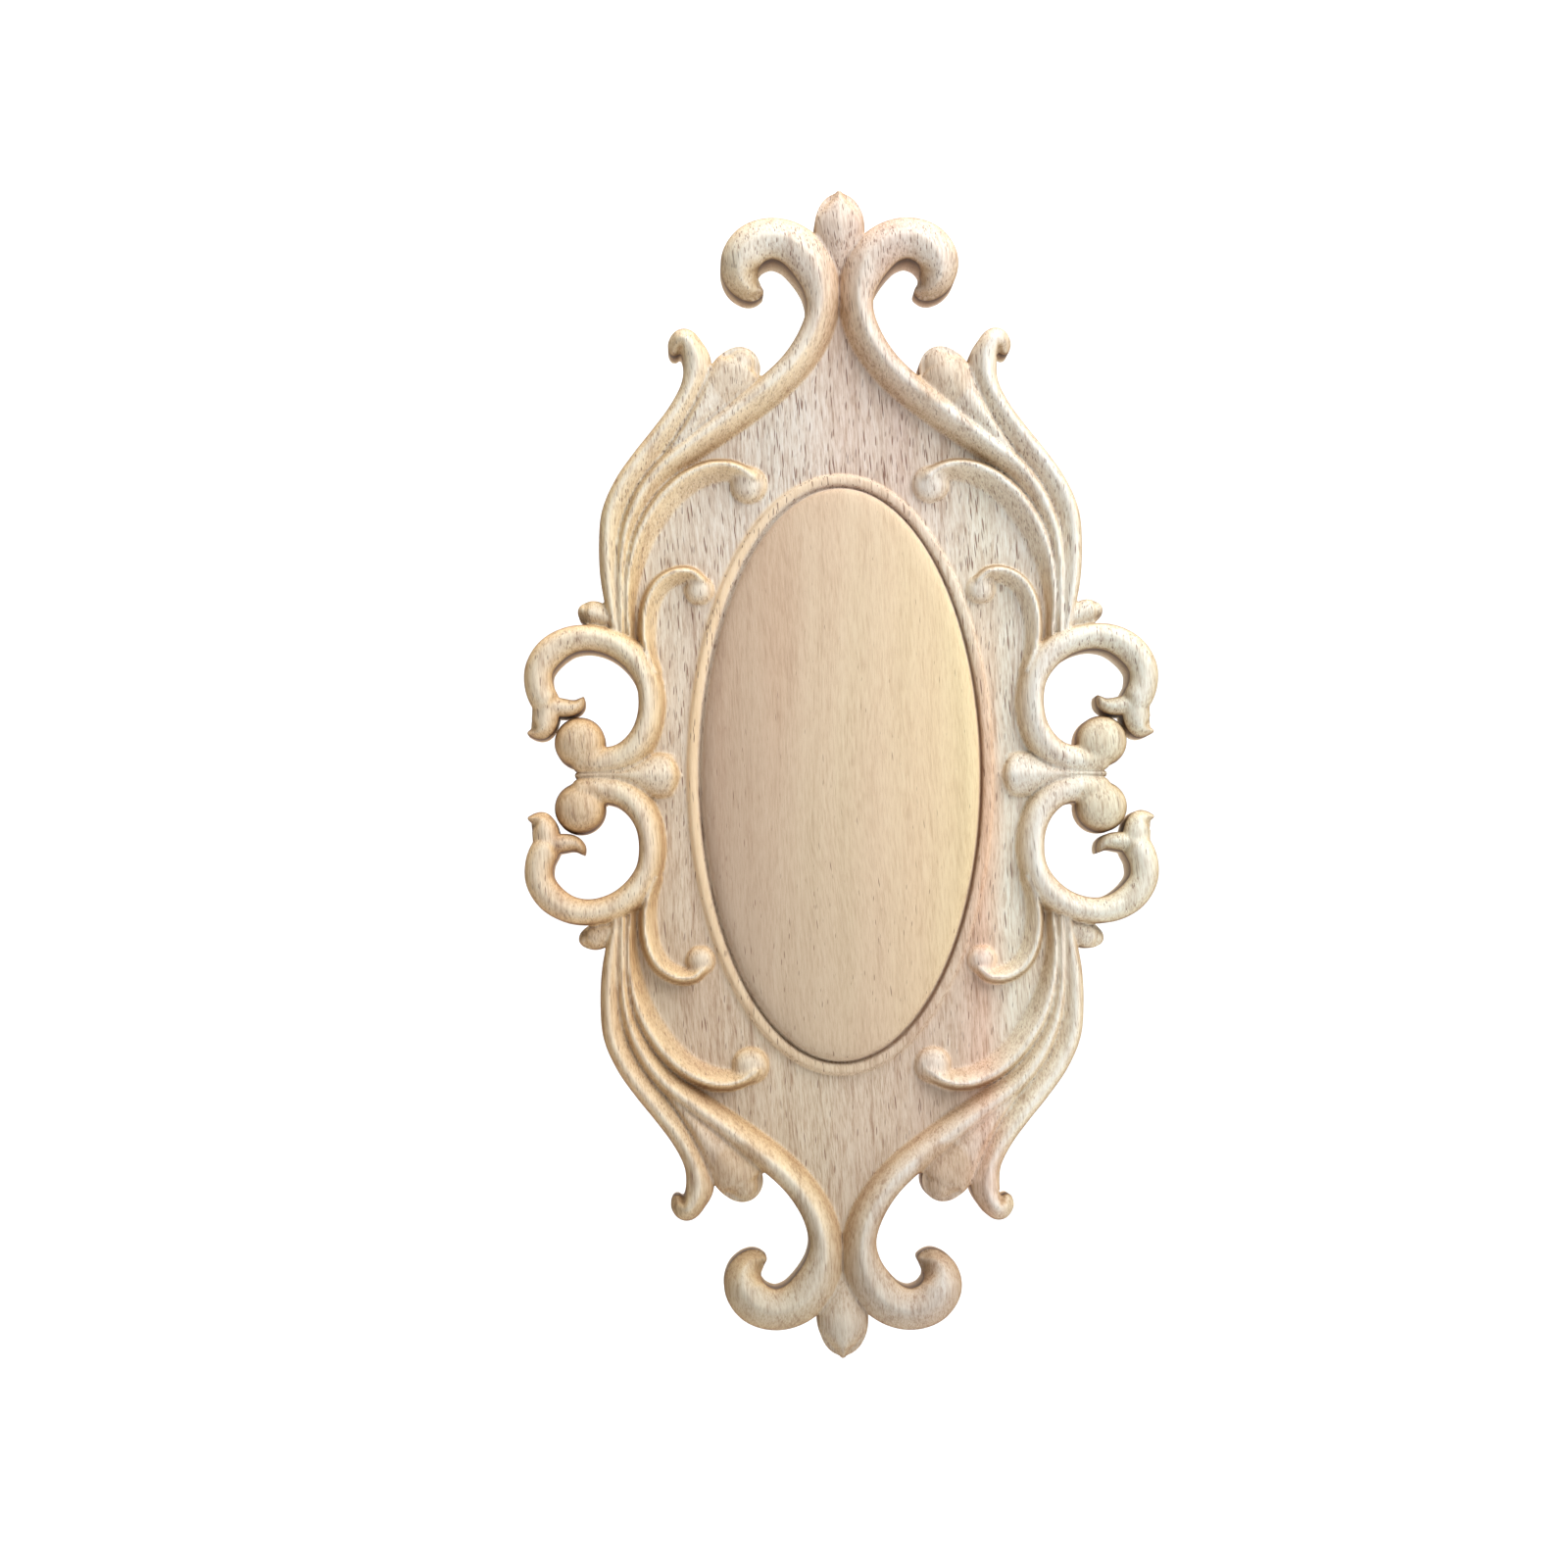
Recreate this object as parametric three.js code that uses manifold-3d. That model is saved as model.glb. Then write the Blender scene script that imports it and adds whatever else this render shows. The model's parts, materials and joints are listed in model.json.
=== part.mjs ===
// Carved wood applique: one piece of pale wood with a flat back, made to be fixed flat on a panel.
// Millimetres. X is the width, Z the long axis up, and the carved front faces -Y.
// The origin is the middle of the flat back, in the plane y = 0.
// The pattern is the same in all four quarters, so only the quarter with x > 0 and z > 0 is drawn.

import * as THREE from 'three';
import { mergeVertices } from 'three/addons/utils/BufferGeometryUtils.js';
import Module from 'manifold-3d';

const wasm = await Module();
wasm.setup();

// Width and height of the whole piece, and those for which the places in the tables below are drawn.
const PANEL_WIDTH = 108.2;
const PANEL_HEIGHT = 199.8;
const DRAWN_WIDTH = 108.2;
const DRAWN_HEIGHT = 199.8;

// Levels above the flat back. The members are first drawn down to OVERCUT behind it, and then
// the back is cut flat in one plane.
const GROUND = 5.0;
const OVERCUT = 1.0;

// Oval medallion in the middle. Its rim rises steeply from a narrow groove that lies deeper than
// the ground, and a low bead slopes from the groove up to its crest and down to the ground.
const MEDALLION_HALF_WIDTH = 23.7;
const MEDALLION_HALF_HEIGHT = 48.9;
const MEDALLION_CROWN = 8.0;
const MEDALLION_RIM = 6.5;
const RIM_ROUNDING = 0.5;
const RIM_FALL = 0.3;
const GROOVE_WIDTH = 0.4;
const GROOVE_DEPTH = 0.8;
const BEAD_CREST = 0.8;
const BEAD_CREST_OUT = 1.35;
const BEAD_WIDTH = 2.4;
const BEAD_SUNK = 0.3;
const OVAL_STEPS = 64;

// How finely the carved members are stepped along their length.
const LONGEST_STEP = 7.0;
const LARGEST_TURN = 22;
const WIDTH_WEIGHT = 3.0;

// Each member is a strip laid along its middle line. A station gives the place across and up,
// the half width, the crown's height and where the crest lies between the strip's two sides:
// -1 is the left side and 1 the right side, seen along the strip.
// left and right give the height of each side as a share of the crown, and how full the curve to it is.
const HOOK = {
  left: { height: 0.6, full: 0.35 },
  right: { height: 0.74, full: 0.65 },
  stations: [
    [37.4, 24.5, 0.8, 7.6, 0.0],
    [37.5, 30.0, 0.9, 7.8, 0.1],
    [37.3, 36.0, 1.1, 8.0, 0.1],
    [36.2, 42.0, 1.3, 8.1, 0.2],
    [33.6, 47.7, 1.6, 8.2, 0.25],
    [30.0, 52.2, 1.8, 8.3, 0.25],
    [25.2, 56.0, 2.1, 8.4, 0.2],
    [20.2, 59.6, 2.4, 8.5, 0.15],
    [15.3, 63.3, 2.6, 8.7, 0.15],
    [10.8, 66.7, 2.5, 8.9, 0.15],
    [7.2, 70.4, 2.5, 9.0, 0.15],
    [4.4, 74.8, 2.6, 9.2, 0.15],
    [3.0, 79.2, 2.7, 9.4, 0.15],
    [3.1, 83.2, 3.2, 9.6, 0.1],
    [4.7, 87.1, 3.9, 9.8, 0.05],
    [7.8, 90.0, 4.0, 10.0, 0.0],
    [11.4, 91.2, 3.9, 10.0, 0.0],
    [14.9, 90.2, 3.8, 10.0, 0.0],
    [16.9, 87.7, 3.5, 9.9, 0.0],
    [16.8, 85.0, 3.0, 9.0, -0.1],
    [15.4, 83.3, 2.1, 7.2, -0.2],
    [13.4, 82.8, 0.7, 5.6, 0.0],
  ],
};

const TENDRIL = {
  left: { height: 0.7, full: 0.3 },
  right: { height: 0.72, full: 0.7 },
  stations: [
    [38.2, 24.0, 1.0, 7.6, 0.2],
    [38.7, 29.0, 1.5, 7.9, 0.3],
    [39.2, 34.0, 1.8, 8.2, 0.3],
    [39.3, 39.5, 1.9, 8.3, 0.3],
    [38.7, 44.6, 2.0, 8.4, 0.3],
    [36.6, 49.4, 2.0, 8.5, 0.3],
    [33.6, 53.7, 2.0, 8.5, 0.3],
    [30.3, 57.8, 2.0, 8.6, 0.3],
    [27.2, 62.0, 2.0, 8.6, 0.25],
    [25.1, 66.2, 2.0, 8.7, 0.15],
    [24.3, 69.9, 2.4, 8.8, 0.1],
    [25.2, 72.7, 2.0, 8.9, 0.0],
    [26.6, 74.3, 2.0, 8.7, 0.0],
    [28.0, 73.7, 1.7, 7.8, 0.0],
    [28.4, 72.5, 1.1, 6.8, 0.0],
  ],
};

const LEAF = {
  left: { height: 0.72, full: 0.4 },
  right: { height: 0.76, full: 0.7 },
  stations: [
    [29.4, 54.6, 0.8, 7.2, 0.2],
    [26.6, 57.8, 1.3, 7.8, 0.2],
    [23.6, 61.3, 2.2, 8.3, 0.2],
    [20.6, 64.9, 3.4, 8.5, 0.2],
    [18.4, 67.9, 4.0, 8.6, 0.15],
    [16.7, 69.8, 3.6, 8.4, 0.1],
    [15.4, 71.4, 3.0, 7.9, 0.0],
    [14.8, 72.2, 1.4, 7.2, 0.0],
  ],
};

const CURL_HIGH = {
  left: { height: 0.56, full: 0.1 },
  right: { height: 0.72, full: 0.6 },
  stations: [
    [35.9, 24.0, 0.8, 7.2, 0.2],
    [36.0, 29.0, 1.2, 7.5, 0.3],
    [35.4, 34.0, 1.7, 7.7, 0.45],
    [33.6, 40.0, 2.2, 7.9, 0.5],
    [30.5, 45.3, 2.4, 8.0, 0.5],
    [26.9, 49.1, 2.4, 8.0, 0.5],
    [23.2, 51.2, 2.3, 8.0, 0.45],
    [20.0, 51.9, 2.1, 7.9, 0.35],
    [17.4, 51.6, 1.8, 7.7, 0.2],
    [15.5, 50.6, 1.3, 7.3, 0.0],
  ],
};
const CURL_HIGH_EYE = { x: 15.6, z: 49.8, radius: 3.2, edge: 4.7, crown: 7.2 };

const CURL_LOW = {
  left: { height: 0.6, full: 0.25 },
  right: { height: 0.7, full: 0.6 },
  stations: [
    [31.4, 17.6, 0.9, 7.6, 0.2],
    [32.5, 21.0, 1.4, 7.6, 0.4],
    [32.8, 25.0, 1.7, 7.6, 0.5],
    [32.2, 29.2, 1.8, 7.6, 0.5],
    [30.5, 32.3, 1.8, 7.6, 0.5],
    [28.0, 33.9, 1.6, 7.6, 0.4],
    [25.6, 34.1, 1.3, 7.4, 0.2],
    [24.1, 33.2, 0.8, 7.0, 0.0],
  ],
};
const CURL_LOW_EYE = { x: 24.1, z: 31.8, radius: 2.6, edge: 4.7, crown: 6.9 };

const RING = {
  left: { height: 0.76, full: 0.75 },
  right: { height: 0.74, full: 0.75 },
  stations: [
    [44.0, 2.6, 2.2, 7.8, 0.0],
    [40.4, 2.4, 2.3, 8.1, 0.0],
    [37.0, 3.3, 2.3, 8.3, 0.1],
    [34.3, 5.7, 2.3, 8.5, 0.25],
    [32.8, 9.0, 2.2, 8.6, 0.35],
    [32.4, 12.8, 2.15, 8.7, 0.35],
    [33.1, 16.5, 2.1, 8.8, 0.25],
    [35.2, 19.8, 2.2, 8.9, 0.1],
    [38.4, 22.2, 2.2, 9.0, 0.0],
    [42.3, 23.3, 2.15, 9.0, -0.1],
    [46.1, 23.0, 2.3, 9.0, -0.1],
    [49.4, 21.1, 2.5, 9.0, -0.1],
    [51.4, 18.2, 2.5, 9.0, -0.1],
    [51.5, 15.1, 2.5, 9.0, -0.1],
    [50.4, 12.5, 2.4, 8.8, 0.0],
    [49.0, 11.0, 1.5, 8.0, 0.0],
  ],
};
const RING_EYE = { x: 44.6, z: 5.6, radius: 4.35, edge: 5.6, crown: 8.8 };

const RING_TAIL = {
  left: { height: 0.76, full: 0.7 },
  right: { height: 0.76, full: 0.7 },
  stations: [
    [50.4, 13.0, 2.2, 8.0, 0.0],
    [50.4, 10.4, 2.4, 8.2, 0.0],
    [50.9, 8.3, 2.2, 7.9, 0.0],
    [51.8, 7.2, 1.3, 7.2, 0.0],
    [53.4, 7.3, 0.4, 6.4, 0.0],
  ],
};

const RING_BARB = {
  left: { height: 0.76, full: 0.7 },
  right: { height: 0.76, full: 0.7 },
  stations: [
    [50.0, 11.9, 1.6, 7.8, 0.0],
    [47.8, 11.4, 1.8, 7.8, 0.0],
    [45.6, 11.1, 1.7, 7.5, 0.0],
    [44.2, 11.4, 1.3, 7.0, 0.0],
    [43.4, 12.1, 0.4, 6.4, 0.0],
  ],
};

const RING_LEAF = {
  left: { height: 0.74, full: 0.7 },
  right: { height: 0.7, full: 0.5 },
  stations: [
    [37.6, 25.4, 1.2, 7.0, 0.0],
    [39.8, 26.6, 2.0, 7.3, 0.0],
    [41.8, 27.6, 2.4, 7.4, 0.0],
    [43.3, 27.9, 2.0, 7.2, 0.0],
    [44.5, 28.1, 1.0, 6.4, 0.0],
  ],
};

const SIDE_BULB = {
  left: { height: 0.7, full: 0.6 },
  right: { height: 0.7, full: 0.6 },
  stations: [
    [27.2, 0.0, 0.8, 5.6, 0.0],
    [27.8, 0.0, 2.1, 6.4, 0.0],
    [29.2, 0.0, 3.4, 7.3, 0.0],
    [31.2, 0.0, 3.7, 7.6, 0.0],
    [33.8, 0.0, 2.9, 7.7, 0.0],
    [37.0, 0.0, 1.7, 7.6, 0.0],
    [41.0, 0.0, 0.9, 7.4, 0.0],
    [45.0, 0.0, 0.5, 6.8, 0.0],
  ],
};

const FINIAL = {
  left: { height: 0.74, full: 0.7 },
  right: { height: 0.74, full: 0.7 },
  stations: [
    [0.0, 85.6, 1.2, 6.6, 0.0],
    [0.0, 88.0, 2.6, 7.6, 0.0],
    [0.0, 91.0, 4.0, 8.5, 0.0],
    [0.0, 93.4, 4.3, 8.9, 0.0],
    [0.0, 95.6, 3.7, 8.7, 0.0],
    [0.0, 97.6, 2.7, 8.3, 0.0],
    [0.0, 99.1, 1.5, 7.8, 0.0],
    [0.0, 99.9, 0.5, 7.3, 0.0],
  ],
};

// The ground's edge runs hidden under the members' crests.
const GROUND_EDGE = [
  [0.0, 87.0],
  [3.6, 80.0],
  [5.4, 75.0],
  [8.2, 70.9],
  [15.8, 64.4],
  [24.5, 63.5],
  [33.6, 53.7],
  [38.7, 44.6],
  [39.2, 34.0],
  [38.6, 24.0],
  [33.8, 18.0],
  [32.6, 9.0],
  [36.0, 3.0],
  [42.0, 0.0],
];

// Where a section's points lie between the crest (0) and a side (1).
const SECTION = [0, 0.58, 1];

// How much wider and taller the piece is than drawn, and how much wider its members then are, so
// that those that meet each other still meet.
const WIDENED = PANEL_WIDTH / DRAWN_WIDTH;
const HEIGHTENED = PANEL_HEIGHT / DRAWN_HEIGHT;
const THICKENED = (WIDENED + HEIGHTENED) / 2;

// A drawn place and half width, moved and widened with the piece.
function placed([x, z, half, ...rest]) {
  return [x * WIDENED, z * HEIGHTENED, half * THICKENED, ...rest];
}

function curveThrough(stations, t) {
  const last = stations.length - 1;
  const i = Math.min(Math.floor(t), last - 1);
  const f = t - i;
  const a = stations[Math.max(i - 1, 0)];
  const b = stations[i];
  const c = stations[i + 1];
  const d = stations[Math.min(i + 2, last)];
  return b.map((value, k) => 0.5 * (2 * value + (c[k] - a[k]) * f
    + (2 * a[k] - 5 * value + 4 * c[k] - d[k]) * f * f
    + (3 * value - a[k] - 3 * c[k] + d[k]) * f * f * f));
}

// Steps along the strip: short ones in the curls, long ones on the gentle runs.
function stepsAlong(stations) {
  const fine = 24;
  const count = (stations.length - 1) * fine;
  const points = [];
  for (let i = 0; i <= count; i += 1) {
    points.push(curveThrough(stations, i / fine));
  }
  const headings = points.map((p, i) => {
    const a = points[Math.max(i - 1, 0)];
    const b = points[Math.min(i + 1, count)];
    return Math.atan2(b[1] - a[1], b[0] - a[0]);
  });
  const kept = [0];
  let run = 0;
  let turn = 0;
  for (let i = 1; i < count; i += 1) {
    const [x, z, half] = points[i];
    const [lastX, lastZ, lastHalf] = points[i - 1];
    run += Math.hypot(x - lastX, z - lastZ) + WIDTH_WEIGHT * Math.abs(half - lastHalf);
    let bend = headings[i] - headings[i - 1];
    bend = Math.atan2(Math.sin(bend), Math.cos(bend));
    turn += Math.abs(bend) * 180 / Math.PI;
    if (run >= LONGEST_STEP || turn >= LARGEST_TURN) {
      kept.push(i);
      run = 0;
      turn = 0;
    }
  }
  kept.push(count);
  return kept.map((i) => ({ at: points[i], heading: headings[i] }));
}

function shoulder(side, t) {
  const round = Math.sqrt(Math.max(0, 1 - t * t));
  return side.height + (1 - side.height) * (side.full * round + (1 - side.full) * (1 - t));
}

function strip(member) {
  const rings = stepsAlong(member.stations.map(placed)).map(({ at, heading }) => {
    const [x, z, half, crown, crest] = at;
    const nx = Math.sin(heading);
    const nz = -Math.cos(heading);
    const ring = [[-1, -OVERCUT]];
    for (const t of [...SECTION].reverse()) {
      ring.push([crest - t * (1 + crest), crown * shoulder(member.left, t)]);
    }
    for (const t of SECTION.slice(1)) {
      ring.push([crest + t * (1 - crest), crown * shoulder(member.right, t)]);
    }
    ring.push([1, -OVERCUT]);
    return ring.map(([s, height]) => [x + nx * s * half, -height, z + nz * s * half]);
  });
  return closedFromRings(rings);
}

// A closed solid from rings of equal length, capped at both ends.
function closedFromRings(rings) {
  const size = rings[0].length;
  const vertices = rings.flat();
  const faces = [];
  for (let i = 0; i + 1 < rings.length; i += 1) {
    for (let k = 0; k < size; k += 1) {
      const a = i * size + k;
      const b = i * size + (k + 1) % size;
      faces.push([a, b, b + size], [a, b + size, a + size]);
    }
  }
  const end = (rings.length - 1) * size;
  for (let k = 1; k + 1 < size; k += 1) {
    faces.push([0, k + 1, k], [end, end + k, end + k + 1]);
  }
  return solid(vertices, faces);
}

function signedVolume(vertices, faces) {
  let six = 0;
  for (const [i, j, k] of faces) {
    const a = vertices[i];
    const b = vertices[j];
    const c = vertices[k];
    six += a[0] * (b[1] * c[2] - b[2] * c[1]) - a[1] * (b[0] * c[2] - b[2] * c[0])
      + a[2] * (b[0] * c[1] - b[1] * c[0]);
  }
  return six / 6;
}

function solid(vertices, faces) {
  const outward = signedVolume(vertices, faces) > 0;
  const turned = outward ? faces : faces.map(([a, b, c]) => [a, c, b]);
  return new wasm.Manifold(new wasm.Mesh({
    numProp: 3,
    vertProperties: new Float32Array(vertices.flat()),
    triVerts: new Uint32Array(turned.flat()),
  }));
}

// A round button with a domed top, the eye in which a scroll ends.
function eye({ x, z, radius, edge, crown }) {
  const steps = 16;
  const [cx, cz, reach] = placed([x, z, radius]);
  const levels = [[reach, -OVERCUT]];
  for (const angle of [0, 32, 64, 86]) {
    const a = angle * Math.PI / 180;
    levels.push([reach * Math.cos(a), edge + (crown - edge) * Math.sin(a)]);
  }
  const rings = levels.map(([r, height]) => Array.from({ length: steps }, (_, k) => {
    const a = 2 * Math.PI * k / steps;
    return [cx + r * Math.cos(a), -height, cz + r * Math.sin(a)];
  }));
  return closedFromRings(rings);
}

// A level of the medallion, an equal distance outside its edge all round.
function round(offset, height) {
  return [MEDALLION_HALF_WIDTH + offset, MEDALLION_HALF_HEIGHT + offset, height];
}

// A level of the medallion's dome, at a share of the way out from its middle.
function dome(share) {
  const rise = MEDALLION_CROWN - MEDALLION_RIM;
  return [
    MEDALLION_HALF_WIDTH * share,
    MEDALLION_HALF_HEIGHT * share,
    MEDALLION_RIM + rise * (1 - share * share),
  ];
}

function ovalSolid(levels) {
  return closedFromRings(levels.map(([a, b, height]) => Array.from({ length: OVAL_STEPS }, (_, k) => {
    const angle = 2 * Math.PI * (k + 0.5) / OVAL_STEPS;
    return [a * Math.cos(angle), -height, b * Math.sin(angle)];
  })));
}

// The oval medallion with its groove and bead.
function medallion() {
  return ovalSolid([
    round(BEAD_WIDTH, -OVERCUT),
    round(BEAD_WIDTH, GROUND - BEAD_SUNK),
    round((BEAD_CREST_OUT + BEAD_WIDTH) / 2, GROUND + BEAD_CREST * 0.75),
    round(BEAD_CREST_OUT, GROUND + BEAD_CREST),
    round((BEAD_CREST_OUT + GROOVE_WIDTH) / 2, GROUND),
    round(GROOVE_WIDTH, GROUND - GROOVE_DEPTH),
    round(0, GROUND - GROOVE_DEPTH),
    round(-GROOVE_WIDTH / 2, MEDALLION_RIM - RIM_FALL),
    round(-GROOVE_WIDTH / 2 - RIM_ROUNDING, MEDALLION_RIM),
    dome(0.8),
    dome(0.5),
    dome(0.05),
  ]);
}

// The opening in the ground into which the medallion is set, narrower than the bead that covers its edge.
function medallionOpening() {
  const out = BEAD_CREST_OUT;
  return ovalSolid([round(out, -2 * OVERCUT), round(out, GROUND + OVERCUT)]);
}

// The flat ground that carries the members, cut to the edge that runs under them.
function ground() {
  const quarter = GROUND_EDGE.map(([x, z]) => [x * WIDENED, z * HEIGHTENED]);
  const right = [...quarter, ...quarter.slice(0, -1).reverse().map(([x, z]) => [x, -z])];
  const left = right.slice(1, -1).reverse().map(([x, z]) => [-x, z]);
  const loop = [...right, ...left].map(([x, z]) => new THREE.Vector2(x, z));
  const turn = Math.sign(THREE.ShapeUtils.area(loop));
  const faces = THREE.ShapeUtils.triangulateShape(loop, []).map(([a, b, c]) => {
    const same = Math.sign(THREE.ShapeUtils.area([loop[a], loop[b], loop[c]])) === turn;
    return same ? [a, b, c] : [a, c, b];
  });
  const count = loop.length;
  const low = loop.map((p) => [p.x, OVERCUT, p.y]);
  const high = loop.map((p) => [p.x, -GROUND, p.y]);
  const all = [...faces];
  for (const [a, b, c] of faces) {
    all.push([a + count, c + count, b + count]);
  }
  for (let k = 0; k < count; k += 1) {
    const n = (k + 1) % count;
    all.push([k, k + count, n + count], [k, n + count, n]);
  }
  return solid([...low, ...high], all);
}

// Everything behind the plane of the back.
function behind() {
  const depth = 2 * OVERCUT;
  const slab = new THREE.BoxGeometry(2 * PANEL_WIDTH, depth, 2 * PANEL_HEIGHT);
  slab.deleteAttribute('normal');
  slab.deleteAttribute('uv');
  slab.translate(0, depth / 2, 0);
  const merged = mergeVertices(slab);
  return new wasm.Manifold(new wasm.Mesh({
    numProp: 3,
    vertProperties: new Float32Array(merged.attributes.position.array),
    triVerts: new Uint32Array(merged.index.array),
  }));
}

function carve() {
  const quarter = [
    strip(HOOK), strip(TENDRIL), strip(LEAF), strip(CURL_HIGH), eye(CURL_HIGH_EYE),
    strip(CURL_LOW), eye(CURL_LOW_EYE), strip(RING), eye(RING_EYE), strip(RING_TAIL),
    strip(RING_BARB), strip(RING_LEAF), strip(SIDE_BULB), strip(FINIAL),
  ].reduce((whole, piece) => whole.add(piece));
  const half = quarter.add(quarter.mirror([1, 0, 0]));
  const panel = ground().subtract(medallionOpening());
  return half.add(half.mirror([0, 0, 1])).add(panel).add(medallion()).subtract(behind());
}

function meshOf(manifold) {
  const { numProp, vertProperties, triVerts } = manifold.getMesh();
  const positions = new Float32Array(vertProperties.length / numProp * 3);
  for (let i = 0; i * numProp < vertProperties.length; i += 1) {
    for (let k = 0; k < 3; k += 1) {
      positions[3 * i + k] = vertProperties[numProp * i + k];
    }
  }
  const geometry = new THREE.BufferGeometry();
  geometry.setAttribute('position', new THREE.BufferAttribute(positions, 3));
  geometry.setIndex([...triVerts]);
  geometry.computeVertexNormals();
  return geometry;
}

const wood = new THREE.MeshStandardMaterial({ color: 0xdcc5a8, roughness: 0.75 });
const applique = new THREE.Mesh(meshOf(carve()), wood);
applique.name = 'carved_applique';

const group = new THREE.Group();
group.add(applique);

export default group;
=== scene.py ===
"""Carved wood applique: the relief, its pale wood and a plain studio around it.

Metres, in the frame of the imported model: X is the width, Z the long axis up, and the carved
front faces -Y. The flat back lies in the plane y = 0. Sizes in the tables are millimetres.
The pattern is the same in all four quarters, so one quarter is carved and then mirrored.
"""

import bpy
import json
import math
import numpy as np
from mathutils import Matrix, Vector

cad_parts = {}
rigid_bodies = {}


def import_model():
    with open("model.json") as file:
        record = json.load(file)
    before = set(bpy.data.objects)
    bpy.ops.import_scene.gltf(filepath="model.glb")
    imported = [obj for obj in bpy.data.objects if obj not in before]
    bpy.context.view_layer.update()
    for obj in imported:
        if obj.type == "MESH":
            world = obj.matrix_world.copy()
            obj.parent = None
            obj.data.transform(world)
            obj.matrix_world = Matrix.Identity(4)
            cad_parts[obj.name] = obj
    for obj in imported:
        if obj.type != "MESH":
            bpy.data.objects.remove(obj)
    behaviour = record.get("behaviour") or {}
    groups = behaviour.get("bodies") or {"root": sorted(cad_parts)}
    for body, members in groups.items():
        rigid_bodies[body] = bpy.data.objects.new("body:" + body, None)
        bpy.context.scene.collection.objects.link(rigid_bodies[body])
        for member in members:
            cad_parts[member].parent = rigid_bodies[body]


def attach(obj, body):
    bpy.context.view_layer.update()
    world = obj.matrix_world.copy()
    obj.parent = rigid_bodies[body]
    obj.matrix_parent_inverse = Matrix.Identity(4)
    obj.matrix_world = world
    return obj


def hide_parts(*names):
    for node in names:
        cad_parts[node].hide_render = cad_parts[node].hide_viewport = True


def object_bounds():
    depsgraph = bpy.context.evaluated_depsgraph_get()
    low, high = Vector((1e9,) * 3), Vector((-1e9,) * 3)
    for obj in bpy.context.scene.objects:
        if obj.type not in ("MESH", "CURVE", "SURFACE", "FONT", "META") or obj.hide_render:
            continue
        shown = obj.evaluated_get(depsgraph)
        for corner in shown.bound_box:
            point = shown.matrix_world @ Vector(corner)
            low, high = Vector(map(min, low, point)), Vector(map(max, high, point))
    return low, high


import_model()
cad_box = [list(corner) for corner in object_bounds()]

MM = 0.001

# The quarter's reach across and up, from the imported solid, and the side of a carved cell.
QUARTER_WIDTH = cad_box[1][0] / MM
QUARTER_HEIGHT = cad_box[1][2] / MM
CELL = 0.35

# Heights above the back: the ground, and the lowest and the highest that the carving may be.
GROUND = 5.0
LOWEST = 3.0
HIGHEST = 9.98

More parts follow.
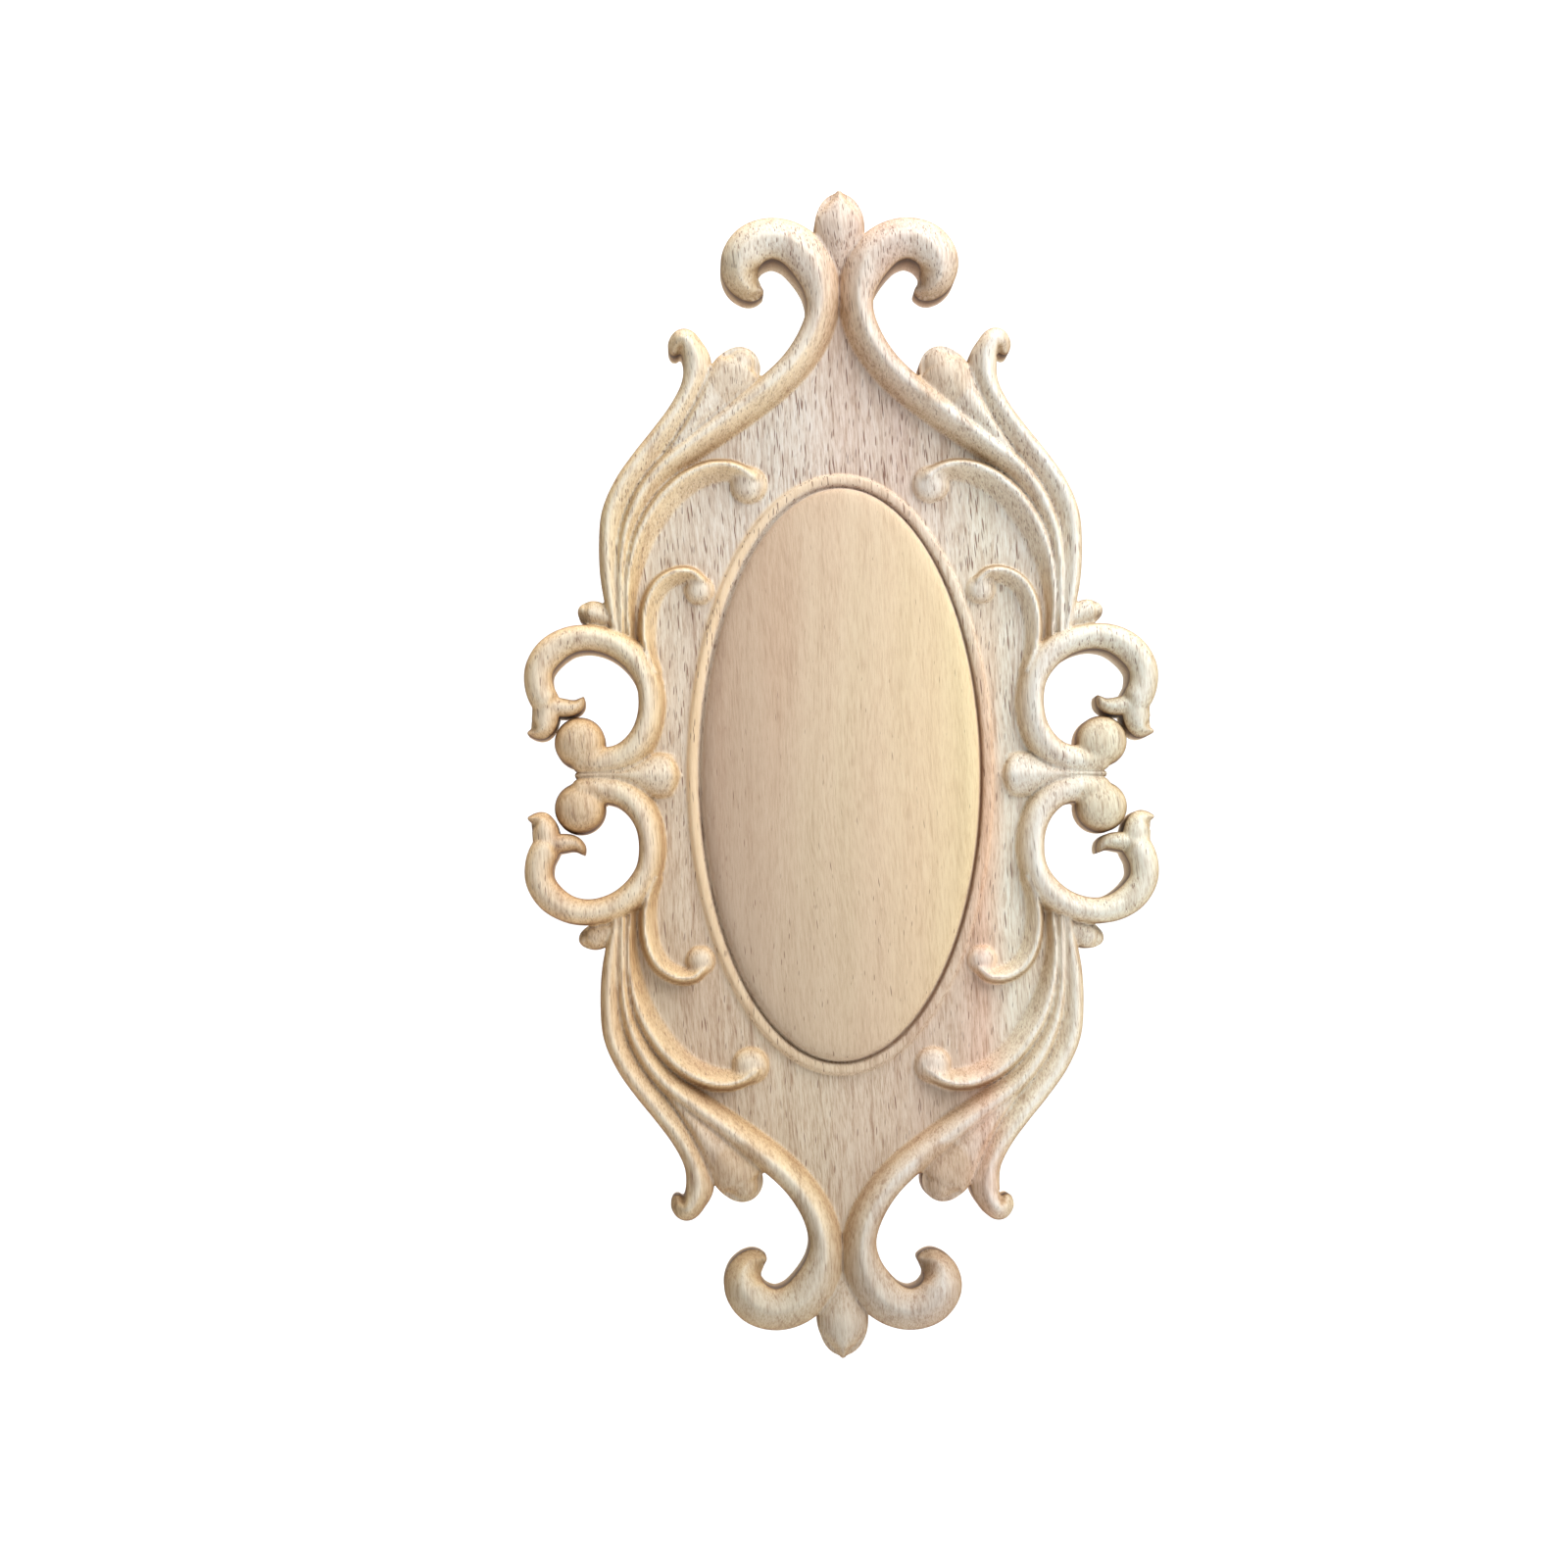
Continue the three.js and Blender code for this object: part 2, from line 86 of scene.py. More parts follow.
# A station of a member: place across, place up, half width, height of the crest, where the
# crest lies (-1 is the left side, 1 the right side, seen along the member), and the heights
# of the left and of the right side. "full" says how round each flank is: 1 is a quarter
# round, 0 is straight, and less than 0 is hollow. "soft" is the width over which the crease
# round the member is filled, and CREASE_WIDTH where none is given.
CREASE_WIDTH = 0.3
MEMBERS = {
    "hook": {
        "full": (0.45, 0.7),
        "soft": 0.35,
        "stations": [
            (37.4, 24.5, 0.9, 7.6, 0.0, 5.6, 5.6),
            (37.5, 30.0, 0.9, 7.8, 0.1, 5.8, 5.8),
            (37.3, 36.0, 1.1, 8.0, 0.1, 5.8, 6.0),
            (36.2, 42.0, 1.3, 8.1, 0.2, 5.6, 6.0),
            (33.6, 47.7, 1.6, 8.2, 0.25, 5.4, 6.0),
            (30.0, 52.2, 1.8, 8.3, 0.25, 5.0, 6.0),
            (25.2, 56.0, 2.1, 8.4, 0.2, 4.8, 6.0),
            (20.2, 59.6, 2.4, 8.5, 0.15, 4.7, 6.0),
            (15.3, 63.3, 2.6, 8.7, 0.15, 4.7, 6.2),
            (10.8, 66.7, 2.5, 8.9, 0.15, 4.7, 6.6),
            (7.2, 70.4, 2.5, 9.0, 0.15, 4.7, 6.8),
            (4.4, 74.8, 2.6, 9.2, 0.15, 4.7, 7.0),
            (3.0, 79.2, 2.7, 9.4, 0.15, 4.8, 7.1),
            (3.1, 83.2, 3.2, 9.6, 0.1, 5.4, 7.2),
            (4.7, 87.1, 3.75, 9.8, 0.05, 6.2, 7.2),
            (7.8, 90.1, 3.65, 9.95, 0.0, 6.6, 7.2),
            (11.4, 91.2, 3.55, 9.95, 0.0, 6.8, 7.2),
            (14.8, 90.2, 3.6, 9.95, 0.0, 6.8, 7.2),
            (16.8, 87.7, 3.4, 9.8, 0.0, 6.6, 7.2),
            (16.8, 85.1, 2.9, 8.8, -0.1, 5.6, 6.8),
            (15.4, 83.3, 2.1, 7.2, -0.2, 4.8, 5.6),
            (13.8, 82.8, 0.9, 5.6, 0.0, 4.2, 4.6),
        ],
    },
    "tendril": {
        "full": (0.35, 0.7),
        "stations": [
            (38.2, 24.0, 1.1, 7.6, 0.2, 5.6, 5.6),
            (38.7, 29.0, 1.5, 7.9, 0.3, 5.8, 6.0),
            (39.2, 34.0, 1.8, 8.2, 0.3, 5.8, 6.2),
            (39.3, 39.5, 1.9, 8.3, 0.3, 5.8, 6.2),
            (38.7, 44.6, 2.0, 8.4, 0.3, 5.8, 6.2),
            (36.6, 49.4, 2.0, 8.5, 0.3, 5.8, 6.3),
            (33.6, 53.7, 2.0, 8.5, 0.3, 5.8, 6.3),
            (30.3, 57.8, 2.0, 8.6, 0.3, 5.8, 6.4),
            (27.2, 62.0, 2.0, 8.6, 0.25, 5.8, 6.4),
            (25.1, 66.2, 2.0, 8.7, 0.15, 6.0, 6.4),
            (24.3, 69.9, 2.4, 8.8, 0.1, 6.2, 6.6),
            (25.2, 72.7, 2.0, 8.9, 0.0, 6.4, 6.6),
            (26.6, 74.1, 2.0, 8.7, 0.0, 6.4, 6.6),
            (27.8, 73.5, 1.5, 7.8, 0.0, 5.8, 6.0),
            (28.2, 72.6, 0.9, 6.8, 0.0, 5.2, 5.2),
        ],
    },
    "leaf": {
        "full": (0.75, 0.85),
        "stations": [
            (29.4, 54.6, 0.8, 7.2, 0.2, 5.6, 5.6),
            (26.6, 57.8, 1.3, 7.8, 0.2, 5.6, 5.6),
            (23.6, 61.3, 2.2, 8.3, 0.2, 5.6, 5.8),
            (20.6, 64.9, 3.4, 8.4, 0.1, 5.6, 6.0),
            (18.5, 67.7, 4.0, 8.5, 0.05, 6.0, 6.2),
            (17.4, 69.0, 3.8, 8.4, 0.0, 6.2, 6.2),
            (17.0, 69.7, 3.2, 8.2, 0.0, 6.2, 6.2),
            (16.7, 70.2, 2.4, 8.0, 0.0, 6.2, 6.2),
        ],
    },
    "curl_high": {
        "full": (-0.15, 0.6),
        "stations": [
            (35.9, 24.0, 0.8, 7.2, 0.2, 5.0, 5.6),
            (36.0, 29.0, 1.2, 7.5, 0.3, 4.7, 5.6),
            (35.4, 34.0, 1.7, 7.7, 0.45, 4.6, 5.6),
            (33.6, 40.0, 2.2, 7.9, 0.5, 4.6, 5.6),
            (30.5, 45.3, 2.4, 8.0, 0.5, 4.6, 5.6),
            (26.9, 49.1, 2.4, 8.0, 0.5, 4.6, 5.2),
            (23.2, 51.2, 2.3, 8.0, 0.5, 4.6, 4.9),
            (20.0, 51.9, 2.1, 7.9, 0.45, 4.6, 4.8),
            (17.4, 51.6, 1.8, 7.7, 0.35, 4.7, 4.8),
            (15.4, 50.6, 1.6, 7.3, 0.2, 4.8, 4.8),
        ],
    },
    "curl_low": {
        "full": (-0.1, 0.6),
        "stations": [
            (31.4, 17.6, 0.9, 7.6, 0.2, 5.0, 5.6),
            (32.5, 21.0, 1.4, 7.6, 0.4, 4.6, 5.4),
            (32.8, 25.0, 1.7, 7.6, 0.5, 4.6, 5.0),
            (32.2, 29.2, 1.8, 7.6, 0.5, 4.6, 4.8),
            (30.5, 32.3, 1.8, 7.6, 0.5, 4.6, 4.8),
            (28.0, 33.9, 1.7, 7.6, 0.45, 4.6, 4.8),
            (25.6, 34.1, 1.5, 7.4, 0.35, 4.7, 4.8),
            (24.1, 33.2, 1.2, 7.0, 0.2, 4.8, 4.8),
        ],
    },
    "ring": {
        "full": (0.75, 0.75),
        "stations": [
            (44.0, 2.6, 2.2, 7.8, 0.0, 5.8, 5.8),
            (40.4, 2.4, 2.3, 8.1, 0.0, 6.0, 6.0),
            (37.0, 3.3, 2.3, 8.3, 0.1, 5.8, 6.2),
            (34.3, 5.7, 2.3, 8.5, 0.25, 5.2, 6.4),
            (32.8, 9.0, 2.2, 8.6, 0.35, 4.9, 6.4),
            (32.4, 12.8, 2.15, 8.7, 0.35, 4.9, 6.5),
            (33.1, 16.5, 2.1, 8.8, 0.25, 5.4, 6.6),
            (35.2, 19.8, 2.2, 8.9, 0.1, 6.2, 6.6),
            (38.4, 22.2, 2.2, 9.0, 0.0, 6.4, 6.6),
            (42.3, 23.3, 2.15, 9.0, -0.1, 6.6, 6.6),
            (46.1, 23.0, 2.3, 9.0, -0.1, 6.6, 6.6),
            (49.4, 21.1, 2.5, 9.0, -0.1, 6.6, 6.6),
            (51.4, 18.2, 2.4, 9.0, -0.1, 6.6, 6.6),
            (51.5, 15.1, 2.4, 9.0, -0.1, 6.6, 6.6),
            (50.4, 12.5, 2.4, 8.8, 0.0, 6.4, 6.4),
            (49.4, 11.6, 1.8, 8.0, 0.0, 6.0, 6.0),
        ],
    },
    "ring_tail": {
        "full": (0.7, 0.7),
        "stations": [
            (50.4, 13.0, 2.2, 8.0, 0.0, 6.0, 6.0),
            (50.4, 10.4, 2.3, 8.2, 0.0, 6.0, 6.0),
            (50.9, 8.4, 2.0, 7.9, 0.0, 5.8, 5.8),
            (51.8, 7.5, 1.2, 7.2, 0.0, 5.4, 5.4),
            (53.2, 7.3, 0.4, 6.4, 0.0, 5.0, 5.0),
        ],
    },
    "ring_barb": {
        "full": (0.7, 0.7),
        "stations": [
            (50.0, 11.9, 1.6, 7.8, 0.0, 6.0, 6.0),
            (48.0, 11.6, 1.6, 7.8, 0.0, 6.0, 6.0),
            (46.2, 11.5, 1.4, 7.5, 0.0, 5.8, 5.8),
            (45.0, 11.9, 1.1, 7.1, 0.0, 5.4, 5.4),
            (44.4, 12.6, 0.7, 6.7, 0.0, 5.2, 5.2),
            (44.0, 13.3, 0.2, 6.2, 0.0, 5.0, 5.0),
        ],
    },
    "ring_leaf": {
        "full": (0.7, 0.6),
        "stations": [
            (37.6, 25.4, 1.2, 7.0, 0.0, 5.2, 5.2),
            (39.8, 26.6, 1.9, 7.3, 0.0, 5.4, 5.2),
            (41.8, 27.5, 2.2, 7.4, 0.0, 5.6, 5.2),
            (43.0, 27.8, 1.8, 7.2, 0.0, 5.6, 5.2),
            (43.8, 28.0, 1.1, 6.4, 0.0, 5.2, 4.8),
        ],
    },
    "side_bulb": {
        "full": (0.6, 0.6),
        "soft": 0.5,
        "stations": [
            (27.8, 0.0, 0.9, 5.6, 0.0, 4.6, 4.6),
            (28.2, 0.0, 2.2, 6.5, 0.0, 4.7, 4.7),
            (29.3, 0.0, 3.4, 7.3, 0.0, 4.8, 4.8),
            (31.2, 0.0, 3.7, 7.6, 0.0, 5.0, 5.0),
            (33.8, 0.0, 2.9, 7.7, 0.0, 5.2, 5.2),
            (37.0, 0.0, 1.7, 7.6, 0.0, 5.4, 5.4),
            (41.0, 0.0, 0.9, 7.4, 0.0, 5.4, 5.4),
            (45.0, 0.0, 0.5, 6.8, 0.0, 5.4, 5.4),
        ],
    },
    "finial": {
        "full": (0.7, 0.7),
        "stations": [
            (0.0, 85.6, 1.2, 6.6, 0.0, 5.4, 5.4),
            (0.0, 88.0, 2.6, 7.6, 0.0, 5.8, 5.8),
            (0.0, 91.0, 4.0, 8.5, 0.0, 6.2, 6.2),
            (0.0, 93.4, 4.25, 8.9, 0.0, 6.5, 6.5),
            (0.0, 95.4, 3.6, 8.7, 0.0, 6.5, 6.5),
            (0.0, 97.0, 2.3, 8.3, 0.0, 6.2, 6.2),
            (0.0, 98.2, 1.2, 7.8, 0.0, 5.9, 5.9),
            (0.0, 99.2, 0.5, 7.4, 0.0, 5.7, 5.7),
        ],
    },
}

# Round ends of the scrolls: place, radius, height at the rim, height of the crown, softness.
EYES = {
    "curl_high": (15.6, 49.7, 3.2, 4.3, 6.9, 2.2),
    "curl_low": (24.1, 31.7, 2.6, 4.3, 6.6, 1.8),
    "ring": (44.6, 5.6, 4.35, 5.4, 8.5, 0.4),
}

# Places where shade is painted in, browner: the ball in the ring and the end of the leaf. Each has its
# place across, its place up and its radius.
SHADE_SPOTS = [(44.6, 5.6, 4.6), (17.4, 67.4, 4.6)]

# The ground's edge runs hidden under the members' crests.
GROUND_EDGE = [
    (0.0, 87.0), (3.6, 80.0), (5.4, 75.0), (8.2, 70.9), (15.8, 64.4), (24.5, 63.5), (33.6, 53.7),
    (38.7, 44.6), (39.2, 34.0), (38.6, 24.0), (33.8, 18.0), (32.6, 9.0), (36.0, 3.0), (42.0, 0.0),
    (42.0, -5.0), (-5.0, -5.0), (-5.0, 87.0),
]

# The oval medallion: its reach across and up, the heights of its crown and of the dome's edge, and
# how far outside its own edge the panel's opening lies. The profile has distances outwards from
# the edge and heights, from the ground in over the bead and through the groove to the rim. The
# dome follows in rings at shares of the reach.
OVAL_ACROSS = 23.7
OVAL_UP = 48.9
OVAL_CROWN = 8.0
OVAL_DOME_EDGE = 6.64
OVAL_OPENING = 2.95
OVAL_PROFILE = [
    (2.8, 5.0), (2.68, 5.04), (2.54, 5.2), (2.38, 5.46), (2.2, 5.68), (2.02, 5.8), (1.82, 5.84),
    (1.55, 5.85), (1.25, 5.83), (0.98, 5.77), (0.8, 5.66), (0.66, 5.42), (0.52, 5.1), (0.4, 4.95),
    (0.28, 5.0), (0.16, 5.24), (0.04, 5.56), (-0.1, 5.88), (-0.28, 6.14), (-0.5, 6.34), (-0.8, 6.5),
    (-1.1, 6.61),
]
OVAL_DOME_SHARES = [0.94, 0.9, 0.82, 0.72, 0.6, 0.46, 0.3, 0.15, 0.0]
OVAL_STEPS = 92

# How the members are carved: points worked out for each station, how far from a member it is
# looked for, the fall past its sides in mm a mm, the rounding of its crest, the most of the
# crown's height that a side may have, and how far a crease between two members is filled.
POINTS_A_STATION = 24
SEARCH_REACH = 7
FALL = 3.2
CREST_ROUNDING = 0.006
CREST_DROP = 0.077
SIDE_LIMIT = 0.88
CREASE_FILL = 0.7
PLACES_AT_ONCE = 8000

# A place that no member reaches has UNREACHED_HEIGHT and lies FAR_OUTSIDE. The ground's own places
# lie WELL_INSIDE, and off the ground the height starts from OFF_GROUND_HEIGHT.
UNREACHED_HEIGHT = -9.0
FAR_OUTSIDE = 9.0
WELL_INSIDE = -1.0
OFF_GROUND_HEIGHT = -4.0
TINY = 1e-6


def smooth_line(stations, steps):
    """Points close together on the curve through the stations, with all their values."""
    table = np.array(stations, float)
    last = len(table) - 1
    t = np.arange(last * steps + 1) / steps
    i = np.minimum(t.astype(int), last - 1)
    f = (t - i)[:, None]
    before = table[np.maximum(i - 1, 0)]
    start = table[i]
    end = table[i + 1]
    after = table[np.minimum(i + 2, last)]
    return 0.5 * (2 * start + (end - before) * f
                  + (2 * before - 5 * start + 4 * end - after) * f ** 2
                  + (3 * start - before - 3 * end + after) * f ** 3)


def member_form(member, x, z):
    """Height of a member at each place, and how far the place lies outside its sides."""
    line = smooth_line(member["stations"], POINTS_A_STATION)
    ahead = np.gradient(line[:, :2], axis=0)
    ahead /= np.linalg.norm(ahead, axis=1)[:, None]
    height = np.full(x.size, UNREACHED_HEIGHT)
    outside = np.full(x.size, FAR_OUTSIDE)
    low = line[:, :2].min(0) - SEARCH_REACH
    high = line[:, :2].max(0) + SEARCH_REACH
    near = np.where((x > low[0]) & (x < high[0]) & (z > low[1]) & (z < high[1]))[0]
    for start in range(0, len(near), PLACES_AT_ONCE):
        part = near[start:start + PLACES_AT_ONCE]
        height[part], outside[part] = near_member(member, line, ahead, x[part], z[part])
    return height, outside


def near_member(member, line, ahead, x, z):
    """The same for places near the member, from the point of its line that is nearest to each."""
    dx = x[:, None] - line[None, :, 0]
    dz = z[:, None] - line[None, :, 1]
    away = np.sqrt(dx * dx + dz * dz)
    nearest = np.argmin(away, 1)
    out = (away - line[None, :, 2]).min(1)
    ex = x - line[nearest, 0]
    ez = z - line[nearest, 1]
    along = ex * ahead[nearest, 0] + ez * ahead[nearest, 1]
    across = ex * ahead[nearest, 1] - ez * ahead[nearest, 0]
    before_start = (nearest == 0) & (along < 0)
    past_end = (nearest == len(line) - 1) & (along > 0)
    distance = np.where(before_start | past_end, np.hypot(ex, ez), np.abs(across))
    half, crown, crest, left, right = line[nearest, 2:].T
    share = np.where(across > 0, distance, -distance) / half
    on_right = share > crest
    down = np.where(on_right, (share - crest) / (1 - crest), (crest - share) / (1 + crest))
    down = np.sqrt(np.clip(down, 0, 1) ** 2 + CREST_ROUNDING) - CREST_DROP
    down = np.clip(down, 0, 1)
    left_full, right_full = member["full"]
    full = np.where(on_right, right_full, left_full)
    side = np.minimum(np.where(on_right, right, left), crown * SIDE_LIMIT)
    flank = side + (crown - side) * (full * np.sqrt(1 - down * down) + (1 - full) * (1 - down))
    return flank - FALL * np.maximum(out, 0), out


def blended(a, b, soft):
    """The higher of two heights, with the crease between them rounded."""
    share = np.clip(0.5 + 0.5 * (a - b) / soft, 0, 1)
    return b * (1 - share) + a * share + CREASE_FILL * soft * share * (1 - share)


def within(loop, x, z):
    """True where a place lies inside a closed loop."""
    inside = np.zeros(x.size, bool)
    for k in range(len(loop)):
        (ax, az), (bx, bz) = loop[k - 1], loop[k]
        if az == bz:
            continue
        crosses = (az > z) != (bz > z)
        inside ^= crosses & (x < (bx - ax) * (z - az) / (bz - az) + ax)
    return inside


def carved_form(x, z):
    """Height of the carving and the distance outside its outline, for the quarter x, z > 0."""
    on_ground = within(GROUND_EDGE, x, z)
    height = np.where(on_ground, GROUND, OFF_GROUND_HEIGHT)
    outside = np.where(on_ground, WELL_INSIDE, FAR_OUTSIDE)
    for member in MEMBERS.values():
        member_height, member_outside = member_form(member, x, z)
        reached = member_height > UNREACHED_HEIGHT + 1
        soft = member.get("soft", CREASE_WIDTH)
        height = np.where(reached, blended(height, member_height, soft), height)
        outside = np.minimum(outside, member_outside)
    for across, up, radius, rim, crown, soft in EYES.values():
        r = np.hypot(x - across, z - up) / radius
        dome = rim + (crown - rim) * np.sqrt(np.clip(1 - np.minimum(r, 1) ** 2, 0, 1))
        dome -= FALL * radius * np.maximum(r - 1, 0)
        height = blended(height, dome, soft)
        outside = np.minimum(outside, (r - 1) * radius)
    return height, outside


def oval_offset(x, z, offset):
    """Distance outside the oval that lies offset outside the medallion's edge."""
    a = OVAL_ACROSS + offset
    b = OVAL_UP + offset
    share = np.maximum(np.hypot(x / a, z / b), TINY)
    steep = np.hypot(x / a ** 2, z / b ** 2) / share
    return (share - 1) / np.maximum(steep, TINY)


def off_the_panel(x, z):
    """Distance outside the carved panel with its oval opening, more than 0 off the panel."""
    outside = carved_form(x, z)[1]
    return np.maximum(outside, -oval_offset(x, z, OVAL_OPENING))


def read_rows(items, field):
    """A vector of every vertex or face, one row each."""
    flat = np.empty(len(items) * 3)
    items.foreach_get(field, flat)
    return flat.reshape(-1, 3)


def places(piece):
    """The places of a piece's vertices in mm, one row each."""
    return read_rows(piece.data.vertices, "co") / MM


def set_places(piece, table):
    piece.data.vertices.foreach_set("co", (table * MM).ravel())
    piece.data.update()


def clear_selection():
    for thing in bpy.context.view_layer.objects:
        thing.select_set(False)


def work_on(piece):
    clear_selection()
    piece.select_set(True)
    bpy.context.view_layer.objects.active = piece


def pick(piece, kind, wanted):
    """Selects the vertices, edges or faces of a piece for the next edit-mode operator."""
    bpy.ops.object.mode_set(mode="EDIT")
    bpy.ops.mesh.select_mode(type=kind)
    bpy.ops.mesh.select_all(action="DESELECT")
    bpy.ops.object.mode_set(mode="OBJECT")
    mesh = piece.data
    parts = {"VERT": mesh.vertices, "EDGE": mesh.edges, "FACE": mesh.polygons}[kind]
    parts.foreach_set("select", np.asarray(wanted, bool))
    bpy.ops.object.mode_set(mode="EDIT")


def edge_table(piece):
    """The two ends of each edge, as numbers of vertices."""
    ends = np.empty(len(piece.data.edges) * 2, int)
    piece.data.edges.foreach_get("vertices", ends)
    return ends.reshape(-1, 2)


def open_edges(piece):
    """True for each edge that only one face uses."""
    uses = np.zeros(len(piece.data.edges), int)
    edge_of = np.empty(len(piece.data.loops), int)
    piece.data.loops.foreach_get("edge_index", edge_of)
    np.add.at(uses, edge_of, 1)
    return uses == 1


def laid_grid(name, across, up, columns, rows):
    """A grid that stands upright, facing -Y, with its lowest left corner at the origin."""
    bpy.ops.mesh.primitive_grid_add(x_subdivisions=columns, y_subdivisions=rows, size=1)
    grid = bpy.context.active_object
    grid.name = name
    table = places(grid)
    low = table.min(0)
    span = table.max(0) - low
    x = (table[:, 0] - low[0]) / span[0] * across
    z = (table[:, 1] - low[1]) / span[1] * up
    set_places(grid, np.stack([x, np.zeros_like(x), z], 1))
    return grid


# How the cut grid is drawn to the outline: what counts as on a middle line, the turns of drawing
# and in how many of them the rim is relaxed first, the step that finds the steepest way, the
# least steepness, the most that a place moves in a turn, the share of the way that relaxing and
# settling go in a turn, and the most turns of settling and of parting pinched corners.
ON_MIDDLE_LINE = 1e-4
DRAW_TURNS = 6
RELAX_TURNS = 3
PROBE = 0.04
LEAST_STEEPNESS = 0.2
MOST_MOVE = 0.3
RELAX_SHARE = 0.5
SETTLE_SHARE = 0.6
SETTLE_TURNS = 6
PINCH_TURNS = 4


def carve_quarter():
    """One quarter of the carving: a grid that is cut, drawn to the outline and then raised."""
    columns = int(QUARTER_WIDTH / CELL) + 2
    rows = int(QUARTER_HEIGHT / CELL) + 2
    clear_selection()
    quarter = laid_grid("carved_applique_relief", columns * CELL, rows * CELL, columns, rows)
    centres = read_rows(quarter.data.polygons, "center") / MM
    work_on(quarter)
    pick(quarter, "FACE", off_the_panel(centres[:, 0], centres[:, 2]) > 0)
    bpy.ops.mesh.delete(type="FACE")
    bpy.ops.object.mode_set(mode="OBJECT")
    part_pinched_corners(quarter)

    table = places(quarter)
    ends = edge_table(quarter)
    open_ends = ends[open_edges(quarter)]
    free = np.zeros(len(table), bool)
    free[open_ends.ravel()] = True
    at_x0 = table[:, 0] < ON_MIDDLE_LINE
    at_z0 = table[:, 2] < ON_MIDDLE_LINE
    inner = (at_x0 | at_z0) & (off_the_panel(table[:, 0], table[:, 2]) < -CELL)
    rim = np.where(free & ~inner)[0]
    for turn in range(DRAW_TURNS):
        if turn < RELAX_TURNS:
            relax(table, open_ends, rim, at_x0 | at_z0)
        draw_to_outline(table, rim, at_x0, at_z0)
    settle(table, ends, free, at_x0 | at_z0)
    height = carved_form(table[:, 0], table[:, 2])[0]
    table[:, 1] = -np.clip(height, LOWEST, HIGHEST)
    set_places(quarter, table)
    return quarter


def part_pinched_corners(piece):
    """Where two cells touch at one corner only, both go, so that the outline never meets itself."""
    for _ in range(PINCH_TURNS):
        ends = edge_table(piece)[open_edges(piece)]
        uses = np.bincount(ends.ravel(), minlength=len(piece.data.vertices))
        pinched = uses > 2
        if not pinched.any():
            return
        faces = [pinched[list(face.vertices)].any() for face in piece.data.polygons]
        pick(piece, "FACE", faces)
        bpy.ops.mesh.delete(type="FACE")
        bpy.ops.object.mode_set(mode="OBJECT")


def neighbour_means(table, ends):
    """Mean place of each place's neighbours along the given edges."""
    total = np.zeros_like(table)
    count = np.zeros(len(table))
    for a, b in ((0, 1), (1, 0)):
        np.add.at(total, ends[:, a], table[ends[:, b]])
        np.add.at(count, ends[:, a], 1)
    return total / np.maximum(count, 1)[:, None]


def relax(table, ends, rim, held):
    """Draws each place of the rim towards its two neighbours, so that the line never crosses."""
    step = RELAX_SHARE * (neighbour_means(table, ends) - table)
    step[held] = 0
    table[rim] += step[rim]


def draw_to_outline(table, rim, at_x0, at_z0):
    """Moves each place of the rim to the outline by the steepest way, along a middle line if on it."""
    x = table[rim, 0]
    z = table[rim, 2]
    out = off_the_panel(x, z)
    gx = (off_the_panel(x + PROBE, z) - off_the_panel(x - PROBE, z)) / (2 * PROBE)
    gz = (off_the_panel(x, z + PROBE) - off_the_panel(x, z - PROBE)) / (2 * PROBE)
    gx = np.where(at_x0[rim], 0, gx)
    gz = np.where(at_z0[rim], 0, gz)
    steep = np.maximum(gx * gx + gz * gz, LEAST_STEEPNESS)
    table[rim, 0] = x - np.clip(out * gx / steep, -MOST_MOVE, MOST_MOVE)
    table[rim, 2] = z - np.clip(out * gz / steep, -MOST_MOVE, MOST_MOVE)


def settle(table, ends, fixed, held):
    """Spaces the places next to the outline evenly between their neighbours."""
    beside = np.zeros(len(table), bool)
    beside[ends[fixed[ends].any(1)].ravel()] = True
    beside[ends[beside[ends].any(1)].ravel()] = True
    beside &= ~fixed & ~held
    for _ in range(SETTLE_TURNS):
        middle = neighbour_means(table, ends)
        table[beside] += SETTLE_SHARE * (middle[beside] - table[beside])


# Side of the flat grid that is bent into the oval, and the distances within which vertices are
# merged, in metres, at the oval's middle and where the quarters meet.
FLAT_SIDE = 1000.0
MERGED_IN_OVAL = 0.00002
MERGED_QUARTERS = 0.00003

# The first step of the walls behind the front edge keeps that edge crisp. A seam edge lies within
# SEAM_REACH of the oval opening. Faces that meet at more than CRISP_ANGLE show a crisp edge.
WALL_STEP = 0.45
SEAM_REACH = 0.9
CRISP_ANGLE = math.radians(55)


def turn_oval():
    """A quarter of the medallion with its bead and groove, from a grid bent round the oval."""
    rings = []
    for offset, level in OVAL_PROFILE:
        rings.append((OVAL_ACROSS + offset, OVAL_UP + offset, level))
    for share in OVAL_DOME_SHARES:
        level = OVAL_DOME_EDGE + (OVAL_CROWN - OVAL_DOME_EDGE) * (1 - share ** 2)
        rings.append((OVAL_ACROSS * share, OVAL_UP * share, level))
    last = len(rings) - 1
    clear_selection()
    oval = laid_grid("oval_medallion", FLAT_SIDE, FLAT_SIDE, OVAL_STEPS, last)
    table = places(oval)
    turn = table[:, 0] / FLAT_SIDE * math.pi / 2
    ring = np.rint(table[:, 2] / FLAT_SIDE * last).astype(int)
    across, up, height = np.array(rings)[ring].T
    x = across * np.sin(turn)
    z = up * np.cos(turn)
    x[np.abs(x) < TINY] = 0
    z[np.abs(z) < TINY] = 0
    set_places(oval, np.stack([x, -height, z], 1))
    work_on(oval)
    pick(oval, "VERT", np.ones(len(table), bool))
    bpy.ops.mesh.remove_doubles(threshold=MERGED_IN_OVAL)
    bpy.ops.object.mode_set(mode="OBJECT")
    return oval


